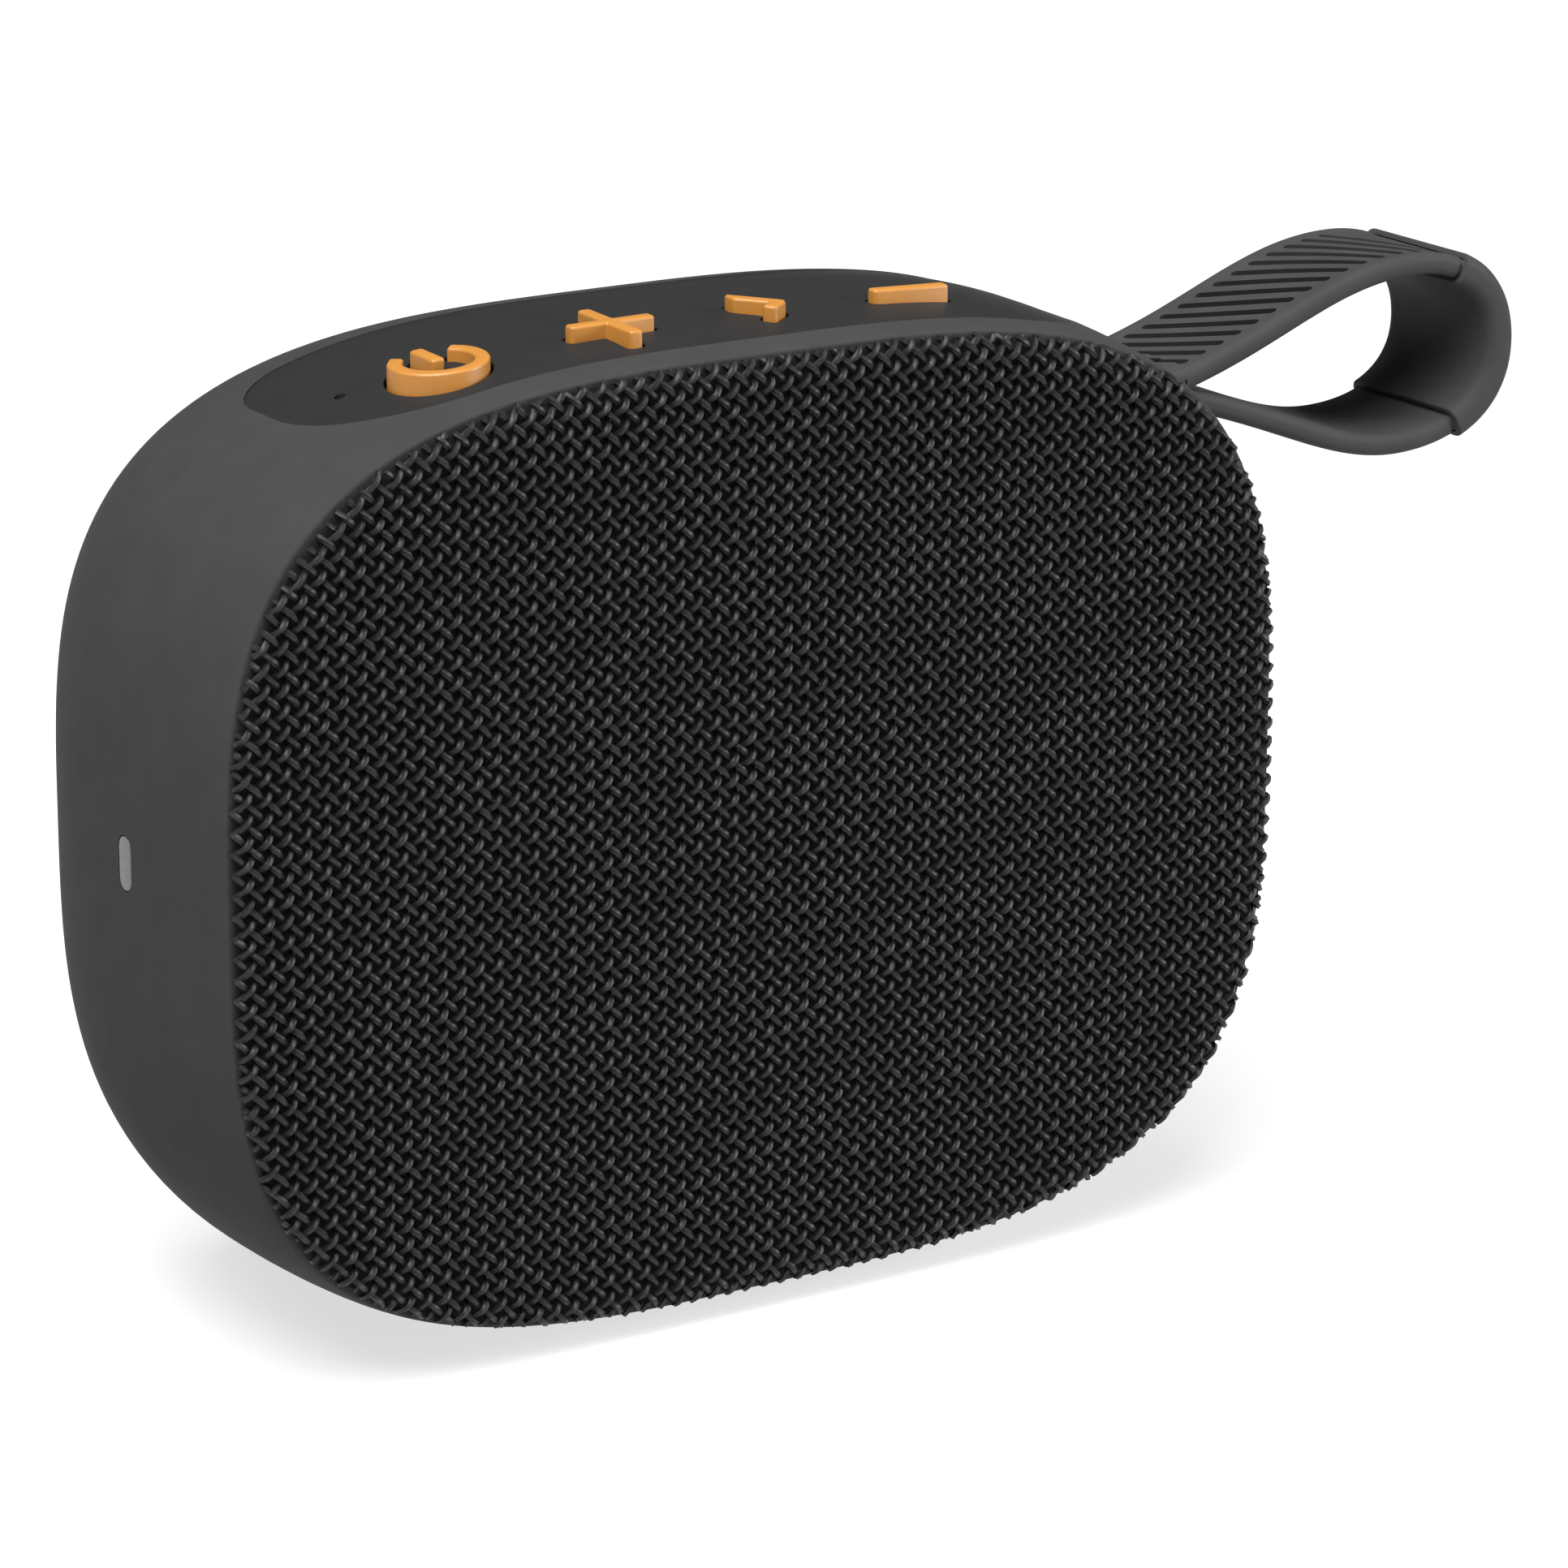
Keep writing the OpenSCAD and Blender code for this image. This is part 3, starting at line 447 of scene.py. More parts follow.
def dress_cad_nodes():
    for part in frame["record"]["subparts"]:
        node = frame["nodes"][part["node"]]
        node.data.materials.clear()
        node.data.materials.append(FINISH[part["material_slot"]])


# ---- Keys ----

KEY_Y = middle("power_plunger", 1)
KEY_STAND = 1.3
KEY_TILT = 0.5
KEY_BEVEL = 0.28
KEY_CORNER = 0.36
STROKE = 1.35
PANEL_STEP = 0.15
PANEL_FRONT_STEP = 0.08
PANEL_UNDER = 1.6
KEY_GAP = 0.3
POWER_R = 4.5
POWER_GAP = 42
POWER_BAR = (-0.1, 4.1)
PLUS_LEN = (8.6, 9.3)
MINUS_LEN = 8.1
CHEVRON_CORNER = (1.5, -1.0)
CHEVRON_BACK = 130
CHEVRON_FRONT = 218
CHEVRON_LEFT = -1.6
CHEVRON_FRONT_LEN = 2.4
FLANGE_T = 1.0
FLANGE_R = 5.2
FLANGE_FRONT = -5.0
FLANGE_CLEAR = 0.35
STEM_R = 1.5

KEYS = {
    "power_button": ("power_key", "power_plunger"),
    "volume_up_button": ("volume_up_key", "volume_up_plunger"),
    "play_button": ("play_key", "play_plunger"),
    "volume_down_button": ("volume_down_key", "volume_down_plunger"),
}


def rectangle(low, high):
    return [(low[0], low[1]), (high[0], low[1]), (high[0], high[1]), (low[0], high[1])]


def arc_side(r, start, end):
    """An arc with room left at both ends for a rounded corner."""
    points = arc(0, 0, r, start, end, 60)
    return [points[0]] + points[4:-4] + [points[-1]]


def power_outlines(grow):
    """An arc open at the back, and a bar standing in the opening."""
    outer_r, inner_r = POWER_R + grow, POWER_R - STROKE - grow
    sides = []
    for r in (outer_r, inner_r):
        open_half = POWER_GAP - math.degrees(math.asin(grow / r))
        sides.append(arc_side(r, 90 + open_half, 450 - open_half))
    corner = KEY_CORNER + grow
    radii = [corner] + [0] * (len(sides[0]) - 2) + [corner]
    half = STROKE / 2 + grow
    bar = rectangle((-half, POWER_BAR[0] - grow), (half, POWER_BAR[1] + grow))
    return [rounded(sides[0] + sides[1][::-1], radii + radii), rounded(bar, corner)]


def plus_outlines(grow):
    half, x, y = STROKE / 2 + grow, PLUS_LEN[0] / 2 + grow, PLUS_LEN[1] / 2 + grow
    cross = [
        (half, -y), (half, -half), (x, -half), (x, half), (half, half), (half, y),
        (-half, y), (-half, half), (-x, half), (-x, -half), (-half, -half), (-half, -y),
    ]
    corner = KEY_CORNER + grow
    return [rounded(cross, [corner, max(0, 0.12 - grow), corner] * 4)]


def chevron_outlines(grow):
    """Two arms from a rounded corner: the back one is longer and cut off parallel to y."""
    corner, half = Vector(CHEVRON_CORNER), STROKE / 2 + grow
    back = Vector((math.cos(math.radians(CHEVRON_BACK)), math.sin(math.radians(CHEVRON_BACK))))
    front = Vector((math.cos(math.radians(CHEVRON_FRONT)), math.sin(math.radians(CHEVRON_FRONT))))
    half_angle = math.radians(CHEVRON_FRONT - CHEVRON_BACK) / 2
    inward = (back + front).normalized() * half / math.sin(half_angle)
    back_side = Vector((back.y, -back.x)) * half
    front_side = Vector((-front.y, front.x)) * half

    def back_end(side):
        start = corner + side
        return start + back * ((CHEVRON_LEFT - grow - start.x) / back.x)

    tip = corner + front * (CHEVRON_FRONT_LEN + grow)
    points = [
        corner - inward, back_end(back_side), back_end(-back_side), corner + inward,
        tip - front_side, tip + front_side,
    ]
    end = KEY_CORNER + grow
    return [rounded(points, [half, end * 0.8, end, max(0, 0.15 - grow), end, end])]


def minus_outlines(grow):
    half, x = STROKE / 2 + grow, MINUS_LEN / 2 + grow
    return [rounded(rectangle((-x, -half), (x, half)), KEY_CORNER + grow)]


SYMBOLS = {
    "power_button": power_outlines,
    "volume_up_button": plus_outlines,
    "play_button": chevron_outlines,
    "volume_down_button": minus_outlines,
}


def counter_clockwise(points):
    p = np.asarray(points, float)
    q = np.roll(p, -1, 0)
    area = (p[:, 0] * q[:, 1] - q[:, 0] * p[:, 1]).sum()
    return p if area > 0 else p[::-1]


def placed(points, x):
    return counter_clockwise(points) + np.array([x, KEY_Y])


def panel_top(x, y, share=1.0):
    """Height of the panel's face, which comes up nearly flush with the shell along its front edge."""
    back = min(1, max(0, (y - PANEL_FRONT) / PANEL_BLEND))
    drop = PANEL_FRONT_STEP + (PANEL_STEP - PANEL_FRONT_STEP) * back * back * (3 - 2 * back)
    return top_z(x, y, drop * share)


def flange_outline(grow):
    """The disc under a key, cut off straight at the front."""
    return [(x, max(y, FLANGE_FRONT - grow)) for x, y in circle(FLANGE_R + grow, 48)]


def make_key(node):
    """Raised symbol, hidden flange and stem of one key."""
    body, plunger = KEYS[node]
    x0 = middle(plunger, 0)
    low = body_box(node)[0][2]
    under_panel = top_z(abs(x0) + FLANGE_R, KEY_Y + FLANGE_FRONT, PANEL_UNDER)
    flange_low = under_panel - FLANGE_CLEAR - FLANGE_T
    slope_x = KEY_TILT * (panel_top(x0 + 1, KEY_Y) - panel_top(x0 - 1, KEY_Y)) / 2
    slope_y = KEY_TILT * (panel_top(x0, KEY_Y + 1) - panel_top(x0, KEY_Y - 1)) / 2
    top = panel_top(x0, KEY_Y) + KEY_STAND

    def level(x, y):
        return top + slope_x * (x - x0) + slope_y * (y - KEY_Y)

    parts = [
        column("symbol", placed(points, x0), flange_low + FLANGE_T / 2, level, KEY_BEVEL)
        for points in SYMBOLS[node](0)
    ]
    parts.append(column("flange", placed(flange_outline(0), x0), flange_low, flange_low + FLANGE_T))
    parts.append(column("stem", placed(circle(STEM_R, 24), x0), low, flange_low + FLANGE_T / 2))
    return piece(joined(f"raised_{node}", parts), body, "key_plastic", node)


# ---- Shell and panel ----

PANEL_HALF_W = 41
PANEL_FRONT = 3.8
PANEL_BACK = 27
PANEL_FRONT_R = 13
PANEL_BACK_R = 6
PANEL_BLEND = 9
PANEL_CLEAR = 0.08
# The panel's edge as (inset, share of its drop): it sweeps up towards the shell.
PANEL_EDGE = [(0, 0.6), (0.06, 0.42), (0.25, 0.4), (0.6, 0.68), (1.0, 0.9), (1.5, 1)]
MIC = (middle("microphone", 0) + 0.4, middle("microphone", 1))
MIC_R = 0.5
PANEL_CUT_Z = (30, 50)


def panel_outline(grow=0.0):
    front, back = PANEL_HALF_W - PANEL_FRONT_R, PANEL_HALF_W - PANEL_BACK_R
    return (
        arc(-front, PANEL_FRONT + PANEL_FRONT_R, PANEL_FRONT_R + grow, 180, 270, 16)
        + arc(front, PANEL_FRONT + PANEL_FRONT_R, PANEL_FRONT_R + grow, 270, 360, 16)
        + arc(back, PANEL_BACK - PANEL_BACK_R, PANEL_BACK_R + grow, 0, 90, 12)
        + arc(-back, PANEL_BACK - PANEL_BACK_R, PANEL_BACK_R + grow, 90, 180, 12)
    )


def resampled(points, step):
    """A closed outline with points about step apart."""
    p = np.asarray(list(points) + [points[0]], float)
    along = np.concatenate([[0], np.cumsum(np.linalg.norm(np.diff(p, axis=0), axis=1))])
    count = int(along[-1] / step)
    at = np.linspace(0, along[-1], count, endpoint=False)
    return np.stack([np.interp(at, along, p[:, 0]), np.interp(at, along, p[:, 1])], 1)


def shrunk(points, share):
    centre = np.array([0, (PANEL_FRONT + PANEL_BACK) / 2])
    return centre + (np.asarray(points) - centre) * share


def layer(name, points, high, low, edge=((0, 1),)):
    """A curved plate on an outline in x and y. high(x, y, share) and low(x, y) give its two faces."""
    inner = [1 - k / 26 for k in range(1, 26)]
    rings = [standing(shrunk(points, s), low) for s in reversed(inner)]
    rings.append(standing(points, low))
    for cut_in, share in edge:
        rings.append(standing(inset(points, cut_in), lambda x, y, share=share: high(x, y, share)))
    last = inset(points, edge[-1][0])
    rings += [standing(shrunk(last, s), lambda x, y: high(x, y, 1)) for s in inner]
    return lofted(name, rings)


def key_holes(grow, low, high):
    holes = []
    for node, (_, plunger) in KEYS.items():
        for points in SYMBOLS[node](grow):
            holes.append(column("hole", placed(points, middle(plunger, 0)), low, high))
    return holes


def make_panel():
    points = resampled(panel_outline(), 0.9)
    panel = layer("control_panel_cover", points, panel_top, lambda x, y: top_z(x, y, PANEL_UNDER), PANEL_EDGE)
    holes = key_holes(KEY_GAP, *PANEL_CUT_Z)
    holes.append(column("hole", np.array(arc(*MIC, MIC_R, 0, 360, 24)[:-1]), *PANEL_CUT_Z))
    cut(panel, holes)
    shade_as_body(panel, 0.9)
    return piece(panel, "housing", "panel_plastic", "control_panel")


BOSS_POINTS = [(41.5, 31.1), (-41.5, 31.1), (47.9, -22.3), (-47.9, -22.3), (20.5, -38.4), (-20.5, -38.4)]
BOSS_R = 3.2
BOSS_BORE = 1.1
BOSS_Y = (5, 12)
BOARD_POSTS = [(-34, 24), (-34, -24), (18, 24), (18, -24)]
POST_R = 2.4
POST_BORE = 0.9
POST_FRONT = 34.6
RIM_BEVEL = 0.3
LIP_IN = -0.8
LEDGE_Y = 1.25
ANCHOR_LOW = (41.6, 11.2)
ANCHOR_HIGH = (60, 30.9)
ANCHOR_Z = (23, 40)
ANCHOR_SKIN = 0.2
LOOP_CLEAR = 0.3
LOOP_SIDE_CLEAR = 0.5
MOUTH_FLARE = 2
MOUTH_REACH = 20
PORT_CLEAR = 0.3
PORT_CORNER = 0.9
PORT_DEPTH = 1.3
PORT_Z = -18
PORT_SLOT = (9.6, 3.9)
MARK_CLEAR = 0.08
MARK_SUNK = (0.45, 0.38)
MARK_BEVEL = 0.12
FOOT_CLEAR = 0.1
FOOT_BEVEL = 0.35
KEY_WINDOW_Z = (32, 50)
MIC_WINDOW_Z = (30, 46)


def shell_hollow(count=288):
    """The open shell as one loft: down the outside, over the rounded rim and back along the inside."""
    rings = []
    for t in np.linspace(90, 0, 44):
        y = WIDEST + (DEPTH - WIDEST) * math.sin(math.radians(t))
        rings.append(upright(outline(swell(y), count), y))
    for y in np.linspace(WIDEST, 1.0, 15)[1:]:
        rings.append(upright(outline(swell(y), count), y))
    for cut_in, drop in edge_steps(RIM_BEVEL):
        y = SEAM_GAP + drop
        rings.append(upright(outline(swell(y) - cut_in, count), y))
    rings += [upright(outline(LIP_IN, count), y) for y in (SEAM_GAP, LEDGE_Y)]
    rings.append(upright(outline(swell(2.2) - WALL, count), LEDGE_Y))
    for y in (2.2, 5, 12, 20, 28, 34, 38, DEPTH - WALL):
        rings.append(upright(outline(swell(y) - WALL, count), y))
    return lofted("shell", rings)


def anchor_block():
    """The thick corner that carries the finger loop's pin."""
    block = column("anchor", rectangle(ANCHOR_LOW, ANCHOR_HIGH), *ANCHOR_Z)
    rings = [upright(outline(swell(y) - ANCHOR_SKIN, 144), y) for y in np.linspace(35, 5, 16)]
    form = lofted("form", rings)
    combined(block, form, "INTERSECT")
    bpy.data.objects.remove(form)
    return block


def tube_along_y(x, z, outer, inner, front, back):
    rings = [[(x + a, y, z + b) for a, b in arc(0, 0, r, 0, 360, 20)[:-1]]
             for r, y in ((outer, back), (outer, front), (inner, front), (inner, back))]
    return lofted("tube", rings, closed=True)


def strap_pocket():
    """The slot in the anchor corner that the loop's root swings in."""
    clear, half = BULB_R + LOOP_CLEAR, NECK_H / 2 + LOOP_CLEAR
    lean = math.degrees(math.asin(half / clear))

    def corner(turn, side):
        t = math.radians(turn)
        return (PIN[0] + MOUTH_REACH * math.cos(t) - side * half * math.sin(t),
                PIN[1] + MOUTH_REACH * math.sin(t) + side * half * math.cos(t))

    up, down = SWING_UP + MOUTH_FLARE, SWING_DOWN + MOUTH_FLARE
    points = arc(*PIN, clear, up + lean, 360 - down - lean, 24)
    points += [corner(-down, -1), corner(up, 1)]
    half_w = STRAP_W / 2 + LOOP_SIDE_CLEAR
    return rod_along_y("pocket", points, STRAP_Y - half_w, STRAP_Y + half_w)


def port_pocket():
    """The shallow recess that the port cover lies in."""
    low, high = body_box("port_cover")
    corner = (low[0] - PORT_CLEAR, low[2] - PORT_CLEAR)
    opposite = (high[0] + PORT_CLEAR, high[2] + PORT_CLEAR)
    pocket = rounded(rectangle(corner, opposite), PORT_CORNER)
    return rod_along_y("pocket", pocket, DEPTH - PORT_DEPTH, DEPTH + OVERCUT)


def port_slot():
    """The hole for the charging plug, through the back."""
    slot = [(x, z + PORT_Z) for x, z in stadium(*PORT_SLOT)]
    return rod_along_y("slot", slot, DEPTH - WALL - OVERCUT, DEPTH)


def mark_solid(name, grow, inner, outer, bevel=0.0):
    """The upright pill on the left side, between two depths into the shell."""
    low, high = body_box("side_mark")
    y0, z0 = (low[1] + high[1]) / 2, (low[2] + high[2]) / 2
    width, height = high[1] - low[1] + 2 * grow, high[2] - low[2] + 2 * grow
    shape = [(y0 + a, z0 + b) for b, a in stadium(height, width)]
    steps = edge_steps(bevel, 3) if bevel else [(0, 0)]
    shape = counter_clockwise(shape)[::-1]
    rings = [[(low[0] + inner, y, z) for y, z in shape]]
    for cut_in, drop in steps:
        ring = inset(shape[::-1], cut_in)[::-1] if cut_in else shape
        rings.append([(low[0] + outer + drop, y, z) for y, z in ring])
    return lofted(name, rings)


def foot_outline(grow):
    low, high = body_box("foot_pad")
    y0 = (low[1] + high[1]) / 2
    return np.array([(x, y + y0) for x, y in
                     stadium(high[0] - low[0] + 2 * grow, high[1] - low[1] + 2 * grow, 16)])


def panel_recess():
    return layer(
        "hole",
        resampled(panel_outline(PANEL_CLEAR), 1.5),
        lambda x, y, share: top_z(x, y, -3),
        lambda x, y: top_z(x, y, PANEL_UNDER + 0.15),
    )


def shell_recesses():
    """What is cut from the shell's outside for the parts let into it."""
    foot_low, foot_high = body_box("foot_pad")
    return [
        panel_recess(),
        strap_pocket(),
        port_pocket(),
        column("hole", foot_outline(FOOT_CLEAR), foot_low[2] - 2 * OVERCUT, foot_high[2] + 0.05),
        mark_solid("hole", MARK_CLEAR, MARK_SUNK[0], -0.4),
    ]


def shell_windows():
    """The holes through the shell under the keys, the microphone and the port."""
    windows = [
        column("hole", placed(flange_outline(FLANGE_CLEAR), middle(plunger, 0)), *KEY_WINDOW_Z)
        for _, plunger in KEYS.values()
    ]
    windows.append(column("hole", np.array(arc(*MIC, MIC_R + 0.1, 0, 360, 24)[:-1]), *MIC_WINDOW_Z))
    windows.append(port_slot())
    return windows


def make_shell():
    shell = joined("rounded_shell", [shell_hollow(), anchor_block()])
    cut(shell, shell_recesses())
    cut(shell, shell_windows())
    tubes = [tube_along_y(x, z, BOSS_R, BOSS_BORE, *BOSS_Y) for x, z in BOSS_POINTS]
    tubes += [
        tube_along_y(x, z, POST_R, POST_BORE, POST_FRONT, DEPTH - WALL + 0.5)
        for x, z in BOARD_POSTS
    ]
    shell = joined("rounded_shell", [shell] + tubes)
    shade_as_body(shell)
    return piece(shell, "housing", "shell_plastic", "rear_shell")


def make_mark():
    pill = mark_solid("side_pill", 0, MARK_SUNK[1], 0.0, MARK_BEVEL)
    return piece(pill, "housing", "mark_plastic", "side_mark")


def make_foot():
    low, high = body_box("foot_pad")
    pad = column("rest_pad", foot_outline(0), low[2], high[2], low_bevel=FOOT_BEVEL)
    return piece(pad, "housing", "silicone", "foot_pad")


FLAP_T = 1.25
FLAP_EDGE = 0.2
FLAP_SKIN = 0.02
FLAP_CORNERS = [0.9, 0.9, 0.2, 0.2]
PLUG = (8, 2.6)
PLUG_IN = 1.0
BEAD_R = 0.6
BEAD_EDGE = 0.15
BEAD_IN = 0.65


def hinge_bead(low_x, high_x, z):
    """The round bead along the flap's upper edge, with its ends chamfered."""
    small_r = BEAD_R - BEAD_EDGE
    ends = ((low_x, small_r), (low_x + BEAD_EDGE, BEAD_R), (high_x - BEAD_EDGE, BEAD_R), (high_x, small_r))
    return lofted("bead", [[(x, DEPTH - BEAD_IN + a, z + b) for a, b in circle(r, 20)] for x, r in ends])


def make_port_cover():
    """The charging flap: a rounded plate with its plug and its hinge bead."""
    low, high = body_box("port_cover")
    top = high[2] - BEAD_R
    plate = rounded(rectangle((low[0], low[2]), (high[0], top)), FLAP_CORNERS)
    plug = [(x, z + PORT_Z) for x, z in stadium(*PLUG)]
    parts = [
        rod_along_y("plate", plate, DEPTH - FLAP_T, DEPTH - FLAP_SKIN, FLAP_EDGE),
        rod_along_y("plug", plug, low[1], DEPTH - PLUG_IN, FLAP_EDGE),
        hinge_bead(low[0], high[0], top),
    ]
    return piece(joined("port_flap_cover", parts), "port_flap", "silicone", "port_cover")


# ---- Woven grille ----

WEAVE_PITCH = 1.32
YARN_R = 0.275
WAVE = 0.39
WRAP = 1.5
WEAVE_START = (-2.35, -2.93)
PLY_PROFILE = (0.72, 1.04) * 5
EDGE_GAP = 0.15
TAIL = 0.28
YARN_STEPS = 8
YARN_REACH = 75
YARN_COUNT = 60
SHORTEST_YARN = 8
WANDER = 0.012
UNEVEN = 0.03
SCRIM_IN = 0.4
SCRIM_GAP = 0.03
TWIST_LEN = 12


def edge_distance(x, z):
    """Distance from points inside the face outline out to it, measured from the middle."""
    rho = (np.abs(x / HALF_W) ** POWER + np.abs(z / HALF_H) ** POWER) ** (1 / POWER)
    return (1 - rho) * np.hypot(x, z) / np.maximum(rho, 1e-6)


def weave_middle(x, z):
    """Depth of the weave's middle surface, which wraps back at the face's edge."""
    flat = YARN_R + WAVE - DOME
    share = np.clip((edge_distance(x, z) - EDGE_GAP) / WRAP, 0, 1)
    return flat * np.sqrt(1 - (1 - share) ** 2)


def yarn(start, along, first_over, rng):
    """Rings of points round one yarn, or None where it misses the face."""
    step = 2 * WEAVE_PITCH / YARN_STEPS
    t = np.arange(-round(YARN_REACH / step), round(YARN_REACH / step) + 1) * step
    x, z = start[0] + t * along[0], start[1] + t * along[1]
    inside = edge_distance(x, z) > EDGE_GAP
    if inside.sum() < SHORTEST_YARN:
        return None
    t, x, z = t[inside], x[inside], z[inside]
    calm = np.clip(edge_distance(x, z) / 2, 0.5, 1)
    height = WAVE * calm * first_over * np.cos(math.pi * t / WEAVE_PITCH)
    wander = rng.normal(0, WANDER, (2, len(t)))
    centre = np.stack([x + wander[0], weave_middle(x, z) - height, z + wander[1]], 1)
    tuck = np.array([0, TAIL, 0])
    return plied(np.concatenate([[centre[0] + tuck], centre, [centre[-1] + tuck]]), along, rng)


def plied(centre, along, rng):
    """Rings of points round a yarn's middle line, with filaments that twist slowly along it."""
    step = 2 * WEAVE_PITCH / YARN_STEPS
    tangent = np.gradient(centre, axis=0)
    tangent /= np.linalg.norm(tangent, axis=1)[:, None]
    side = np.cross([along[0], 0, along[1]], [0, -1, 0])[None, :]
    outward = np.cross(side, tangent)
    ang = 2 * math.pi * np.arange(len(PLY_PROFILE)) / len(PLY_PROFILE)
    twist = 2 * math.pi * step / TWIST_LEN * np.arange(len(centre)) + rng.uniform(0, 2 * math.pi)
    phi = ang[None, :] + twist[:, None]
    r = YARN_R * np.array(PLY_PROFILE)[None, :, None] * rng.normal(1, UNEVEN, (len(centre), 1, 1))
    ring = np.cos(phi)[..., None] * side[:, None, :] + np.sin(phi)[..., None] * outward[:, None, :]
    return centre[:, None, :] + r * ring


def tube_faces(base, count, size):
    """Faces of one capped tube of rings, whose points start at a number."""
    start, turn = base + np.arange(count - 1)[:, None] * size, np.arange(size)[None, :]
    low, after = start + turn, start + (turn + 1) % size
    sides = np.stack([low, low + size, after + size, after], -1).reshape(-1, 4).tolist()
    first_cap = tuple(range(base, base + size))
    last_cap = tuple(range(base + count * size - 1, base + (count - 1) * size - 1, -1))
    return sides + [first_cap, last_cap]


def yarns(name, along, across, first_over, rng):
    """All the yarns that run one way, as one piece."""
    points, faces, base = [], [], 0
    for k in range(-YARN_COUNT, YARN_COUNT + 1):
        start = np.array(WEAVE_START) + k * WEAVE_PITCH * across
        rings = yarn(start, along, first_over * (-1) ** (k % 2), rng)
        if rings is None:
            continue
        faces += tube_faces(base, len(rings), len(PLY_PROFILE))
        points.append(rings.reshape(-1, 3))
        base += len(rings) * len(PLY_PROFILE)
    obj = mesh_object(name, np.concatenate(points), faces)
    return piece(obj, "housing", "grille_cloth")


def make_scrim():
    """The thin black cloth over the grille frame, in rings that shrink towards the middle."""
    edge = outline(-SCRIM_IN, 160)
    shares = [1, 0.985, 0.96] + [0.95 * (1 - k / 16) for k in range(1, 16)] + [0.01]
    points = np.concatenate([[(x * s, FRAME_FRONT - SCRIM_GAP, z * s) for x, z in edge] for s in shares])
    faces = rings_faces(len(shares), len(edge), capped=False)
    faces.append(tuple((len(shares) - 1) * len(edge) + i for i in range(len(edge))))
    return mesh_object("grille_scrim", points, faces)


def make_grille():
    """The two sets of yarns, woven over the scrim that they are fixed to."""
    down = np.array([1, -1]) / math.sqrt(2)
    up = np.array([1, 1]) / math.sqrt(2)
    rng = np.random.default_rng(11)
    woven = [
        yarns("grille_yarns_down", down, up, 1, rng),
        yarns("grille_yarns_up", up, down, -1, rng),
    ]
    scrim = make_scrim()
    scrim.data.materials.append(FINISH["scrim_cloth"])
    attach(scrim, "housing")
    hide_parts("grille_fabric")


# ---- Finger loop ----

SLEEVE_T = 3.2
SLEEVE_SPAN = (1.3, 2.65)
SLEEVE_EDGE = 0.2
GROOVE = 0.3
RIM_DISH = 0.14
RIM_W = 1.7
SLOT_COUNT = 15
SLOT_FIRST_X = 53.2
SLOT_PITCH = 2.1
SLOT_LEAN = 27
SLOT_SPAN = 11.4
SLOT_W = 0.95
SLOT_DEPTH = 1.05
# The band's middle line: up the top leg, round the bend and back along the lower leg.
LOOP_CURVES = [
    [(54, 31.9), (66, 35), (72, 40.2), (82, 40.1)],
    [(82, 40.1), (88.5, 40), (92, 36.5), (92, 31.4)],
    [(92, 31.4), (92, 26), (87.5, 22.7), (80, 22.6)],
    [(80, 22.6), (72.5, 22.5), (66, 27), (54, 30.2)],
]


def loop_point(s):
    k = min(3, int(s))
    t = float(s) - k
    weights = ((1 - t) ** 3, 3 * (1 - t) ** 2 * t, 3 * (1 - t) * t * t, t ** 3)
    return sum((w * Vector(p) for w, p in zip(weights, LOOP_CURVES[k])), Vector((0, 0)))


def loop_normal(s):
    d = loop_point(min(4, s + 0.01)) - loop_point(max(0, s - 0.01))
    return Vector((-d.y, d.x)).normalized()


def band_section(width, thickness, corner, dish=0.0):
    """A rounded strip section as (across, out) pairs, with its outer face dished inside a rim."""
    half_w, half_t = width / 2, thickness / 2
    outer = rounded(rectangle((-half_w, -half_t), (half_w, half_t)), corner, 5)
    if not dish:
        return outer
    inner_w = half_w - RIM_W
    face = [
        (inner_w + 0.5, half_t),
        (inner_w + 0.2, half_t - dish * 0.25),
        (inner_w - 0.2, half_t - dish * 0.8),
        (inner_w - 0.6, half_t - dish),
    ]
    mirrored = [(-u, v) for u, v in reversed(face)]
    split = next(i for i, (u, v) in enumerate(outer) if v > half_t - 1e-6 and u < half_w - 1e-6)
    return outer[:split + 1] + face + mirrored + outer[split + 1:]


def loop_ring(section, s, ahead=0.0):
    """A section of (across, out) pairs standing at a place on the loop's line, moved ahead along it."""
    p, n = loop_point(s), loop_normal(s)
    p = p + Vector((n.y, -n.x)) * ahead
    return [(p.x + v * n.x, STRAP_Y - u, p.y + v * n.y) for u, v in section]


def slot_cutter(x0, shape, along_slot):
    """One slot's cutter, standing on the top leg where its middle line passes x0."""
    s = min(np.linspace(0, 1.25, 400), key=lambda s: abs(loop_point(s).x - x0))
    p, n = loop_point(s), loop_normal(s)
    tangent = Vector((n.y, -n.x))
    shift = x0 - p.x
    rings = []
    for out in (STRAP_T / 2 - SLOT_DEPTH, STRAP_T / 2 + OVERCUT):
        ring = []
        for a, b in shape:
            along = a * along_slot.x + b * along_slot.y + shift / max(tangent.x, 0.5)
            back = a * along_slot.y - b * along_slot.x
            x = p.x + along * tangent.x + out * n.x
            z = p.y + along * tangent.y + out * n.y
            ring.append((x, STRAP_Y + back, z))
        rings.append(ring)
    return lofted("slot", rings)


def slot_cutters():
    """Rounded slots across the top leg, each leaning the same way."""
    lean = math.radians(SLOT_LEAN)
    along_slot = Vector((-math.sin(lean), math.cos(lean)))
    shape = counter_clockwise(stadium(SLOT_SPAN / math.cos(lean), SLOT_W, 6))
    return [slot_cutter(SLOT_FIRST_X + SLOT_PITCH * i, shape, along_slot) for i in range(SLOT_COUNT)]


